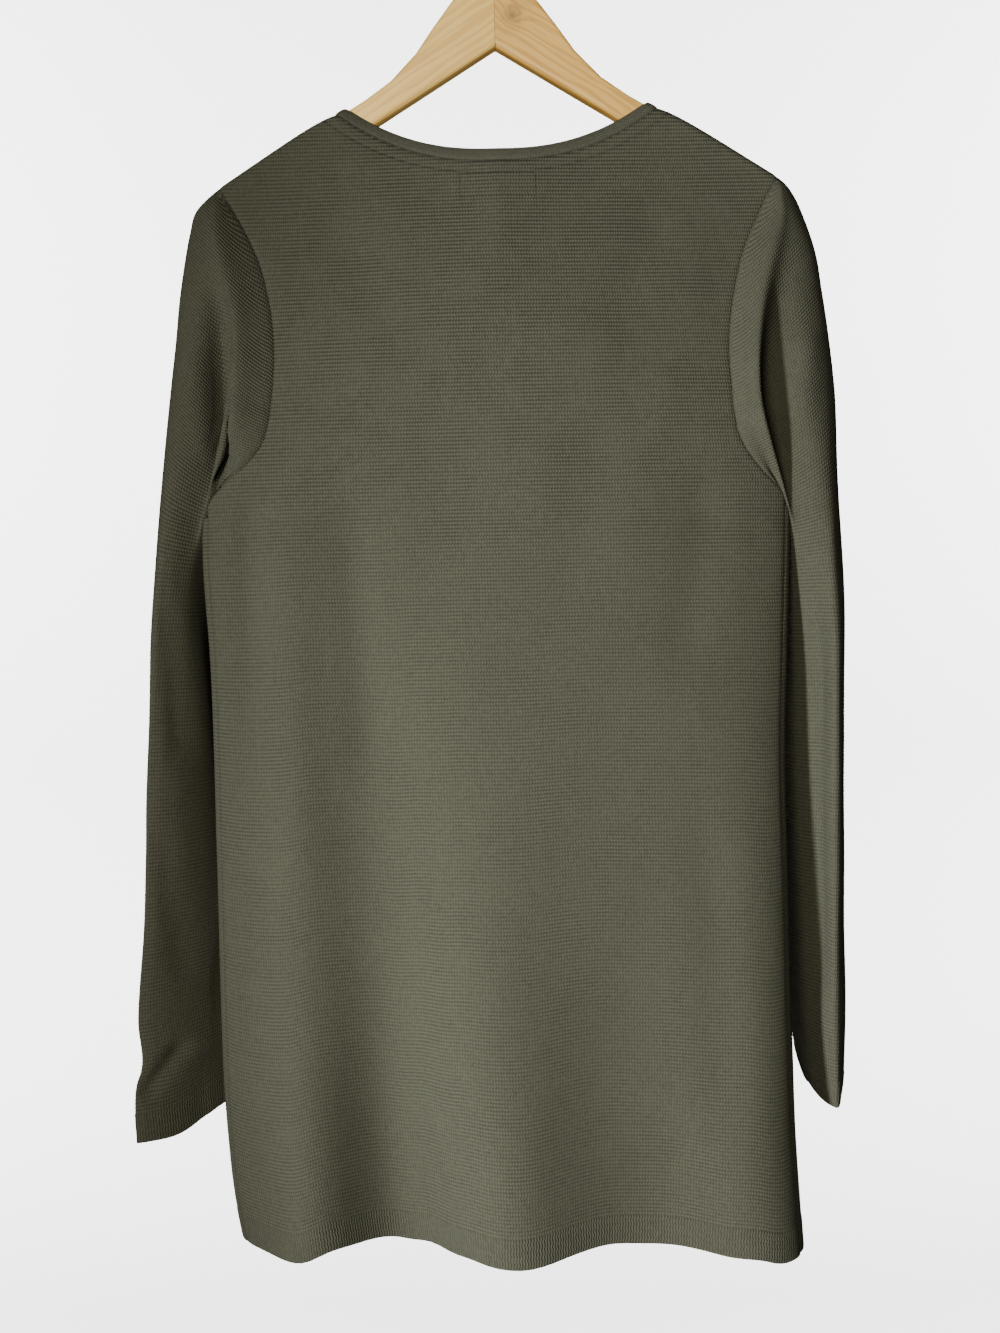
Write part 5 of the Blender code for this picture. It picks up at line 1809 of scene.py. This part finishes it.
@dataclass
class Studio:
    """A pale seamless backdrop, soft lights and the camera."""

    floor: float = -1.34
    wall: float = -1.15
    near: float = 3.2
    high: float = 2.2
    half_width: float = 3.4
    bend: float = 0.6
    bend_steps: int = 16
    colour: tuple[float, float, float] = (0.86, 0.86, 0.86)
    lens: float = 43.2
    camera_place: tuple[float, float, float] = (0.006, 0.865, -0.496)
    camera_down: float = math.radians(3.0)
    camera_roll: float = math.radians(-1.25)
    lamps: tuple[Lamp, ...] = (
        Lamp("Fill", (0.62, 2.0, -0.42), (0.0, 0.0, -0.40), 0.7, 24.0, (1.0, 0.97, 0.87)),
        Lamp("Front", (0.30, -0.95, -0.20), (0.0, 0.0, -0.50), 0.6, 3.0, (1.0, 0.98, 0.94), "cloth"),
        Lamp("Hanger", (0.55, 1.6, 0.25), (0.0, 0.0, -0.10), 0.5, 24.0, (1.0, 0.98, 0.93), "wood"),
        Lamp("Hanger below", (0.0, 0.50, -0.70), (0.0, 0.0, -0.12), 0.3, 2.0, (1.0, 0.94, 0.92), "wood"),
        Lamp("Wall left", (1.9, 0.5, 0.1), (0.35, -1.15, -0.65), 1.8, 285.0, lit="paper"),
        Lamp("Wall right", (-1.9, 0.5, 0.1), (-0.35, -1.15, -0.65), 1.8, 285.0, lit="paper"),
    )
    beam_place: tuple[float, float, float] = (1.25, 1.30, -1.05)
    beam_aim: tuple[float, float, float] = (-0.17, 0.0, -0.62)
    beam_angle: float = math.radians(56)
    beam_narrowing: float = 0.40
    beam_power: float = 235.0
    beam_radius: float = 0.10
    beam_colour: tuple[float, float, float] = (0.95, 1.03, 1.14)
    ambient: float = 0.02

    def backdrop(self) -> bpy.types.Object:
        """Make one surface that bends from the floor up into the wall."""
        turns = np.linspace(-math.pi / 2, -math.pi, self.bend_steps + 1)
        line = [(self.near, self.floor)]
        for turn in turns:
            y = self.wall + self.bend + self.bend * math.cos(turn)
            line.append((y, self.floor + self.bend + self.bend * math.sin(turn)))
        line.append((self.wall, self.high))
        shape = bmesh.new()
        columns = [
            [shape.verts.new((x, y, z)) for y, z in line] for x in (-self.half_width, self.half_width)
        ]
        for place in range(len(line) - 1):
            shape.faces.new((
                columns[0][place], columns[1][place], columns[1][place + 1], columns[0][place + 1],
            ))
        mesh = bpy.data.meshes.new("Backdrop")
        shape.to_mesh(mesh)
        shape.free()
        mesh.polygons.foreach_set("use_smooth", [True] * len(mesh.polygons))
        thing = bpy.data.objects.new("Backdrop", mesh)
        bpy.context.scene.collection.objects.link(thing)
        material, lay, shader = principled("Pale paper")
        place = lay.node("ShaderNodeTexCoord").outputs["Object"]
        tone = lay.rise(lay.noise(place, 3.0, 2.0), 0.3, 0.7, 0.99, 1.0)
        combined = lay.node("ShaderNodeCombineColor")
        for socket, value in zip(combined.inputs, self.colour):
            lay.feed(socket, lay.math("MULTIPLY", tone, value))
        lay.feed(shader.inputs["Base Color"], combined.outputs[0])
        shader.inputs["Roughness"].default_value = 0.9
        mesh.materials.append(material)
        thing.visible_diffuse = False
        thing.visible_glossy = False
        return thing

    def light(self, backdrop: bpy.types.Object, wood: list[bpy.types.Object],
              cloth: dict[str, bpy.types.Object]) -> None:
        """Place the soft lights and the even light all round.

        Args:
            backdrop: the only thing that the wall lights shine on.
            wood: the parts of the hanger, which have lights of their own.
            cloth: the garment's pieces by name, which alone take the beam.
        """
        groups = {}
        for key, things in (("paper", [backdrop]), ("wood", wood), ("cloth", cloth.values())):
            groups[key] = bpy.data.collections.new(f"Lit {key}")
            for thing in things:
                groups[key].objects.link(thing)
        for lamp in self.lamps:
            data = bpy.data.lights.new(lamp.name, "AREA")
            data.shape = "DISK"
            data.size = lamp.size
            data.energy = lamp.power
            data.color = lamp.colour
            thing = bpy.data.objects.new(lamp.name, data)
            bpy.context.scene.collection.objects.link(thing)
            if lamp.lit:
                thing.light_linking.receiver_collection = groups[lamp.lit]
                thing.light_linking.blocker_collection = groups[lamp.lit]
            thing.visible_camera = False
            thing.matrix_world = self.aimed(lamp.place, lamp.aim)
        self.beam(groups["cloth"])
        world = bpy.data.worlds.new("Studio air")
        world.use_nodes = True
        background = world.node_tree.nodes["Background"]
        background.inputs["Color"].default_value = (1.0, 1.0, 1.0, 1.0)
        background.inputs["Strength"].default_value = self.ambient
        bpy.context.scene.world = world

    @staticmethod
    def aimed(place: Sequence[float], aim: Sequence[float]) -> Matrix:
        """The placing of a lamp that shines from one point to another."""
        way = Vector(aim) - Vector(place)
        return Matrix.Translation(place) @ way.to_track_quat("-Z", "Y").to_matrix().to_4x4()

    def beam(self, lit: bpy.types.Collection) -> None:
        """Place the soft beam that crosses the back and lights its lower part most.

        Args:
            lit: what the beam shines on.
        """
        data = bpy.data.lights.new("Beam", "SPOT")
        data.energy = self.beam_power
        data.color = self.beam_colour
        data.spot_size = self.beam_angle
        data.spot_blend = 1.0
        data.shadow_soft_size = self.beam_radius
        lamp = bpy.data.objects.new("Beam", data)
        bpy.context.scene.collection.objects.link(lamp)
        lamp.light_linking.receiver_collection = lit
        narrow = Matrix.Diagonal((self.beam_narrowing, 1.0, 1.0, 1.0))
        lamp.matrix_world = self.aimed(self.beam_place, self.beam_aim) @ narrow

    def camera(self) -> None:
        """Place the camera where the photograph was taken from."""
        data = bpy.data.cameras.new("Photo view")
        data.sensor_fit = "HORIZONTAL"
        data.sensor_width = 36.0
        data.lens = self.lens
        data.clip_start = 0.02
        data.clip_end = 20.0
        thing = bpy.data.objects.new("Photo view", data)
        bpy.context.scene.collection.objects.link(thing)
        about = Matrix.Rotation(math.pi, 4, "Z")
        tipped = Matrix.Rotation(math.pi / 2 - self.camera_down, 4, "X")
        rolled = Matrix.Rotation(self.camera_roll, 4, "Z")
        thing.matrix_world = Matrix.Translation(self.camera_place) @ about @ tipped @ rolled
        bpy.context.scene.camera = thing


def main() -> None:
    """Build the look: the cloth, the hanger's finishes, the studio and the camera."""
    logging.basicConfig(level=logging.INFO)
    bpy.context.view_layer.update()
    hanger = Hanger()
    cloth = Cardigan().build()
    studio = Studio()
    studio.light(studio.backdrop(), hanger.dress(frame["nodes"], grain_group()), cloth)
    studio.camera()


if __name__ == "__main__":
    main()
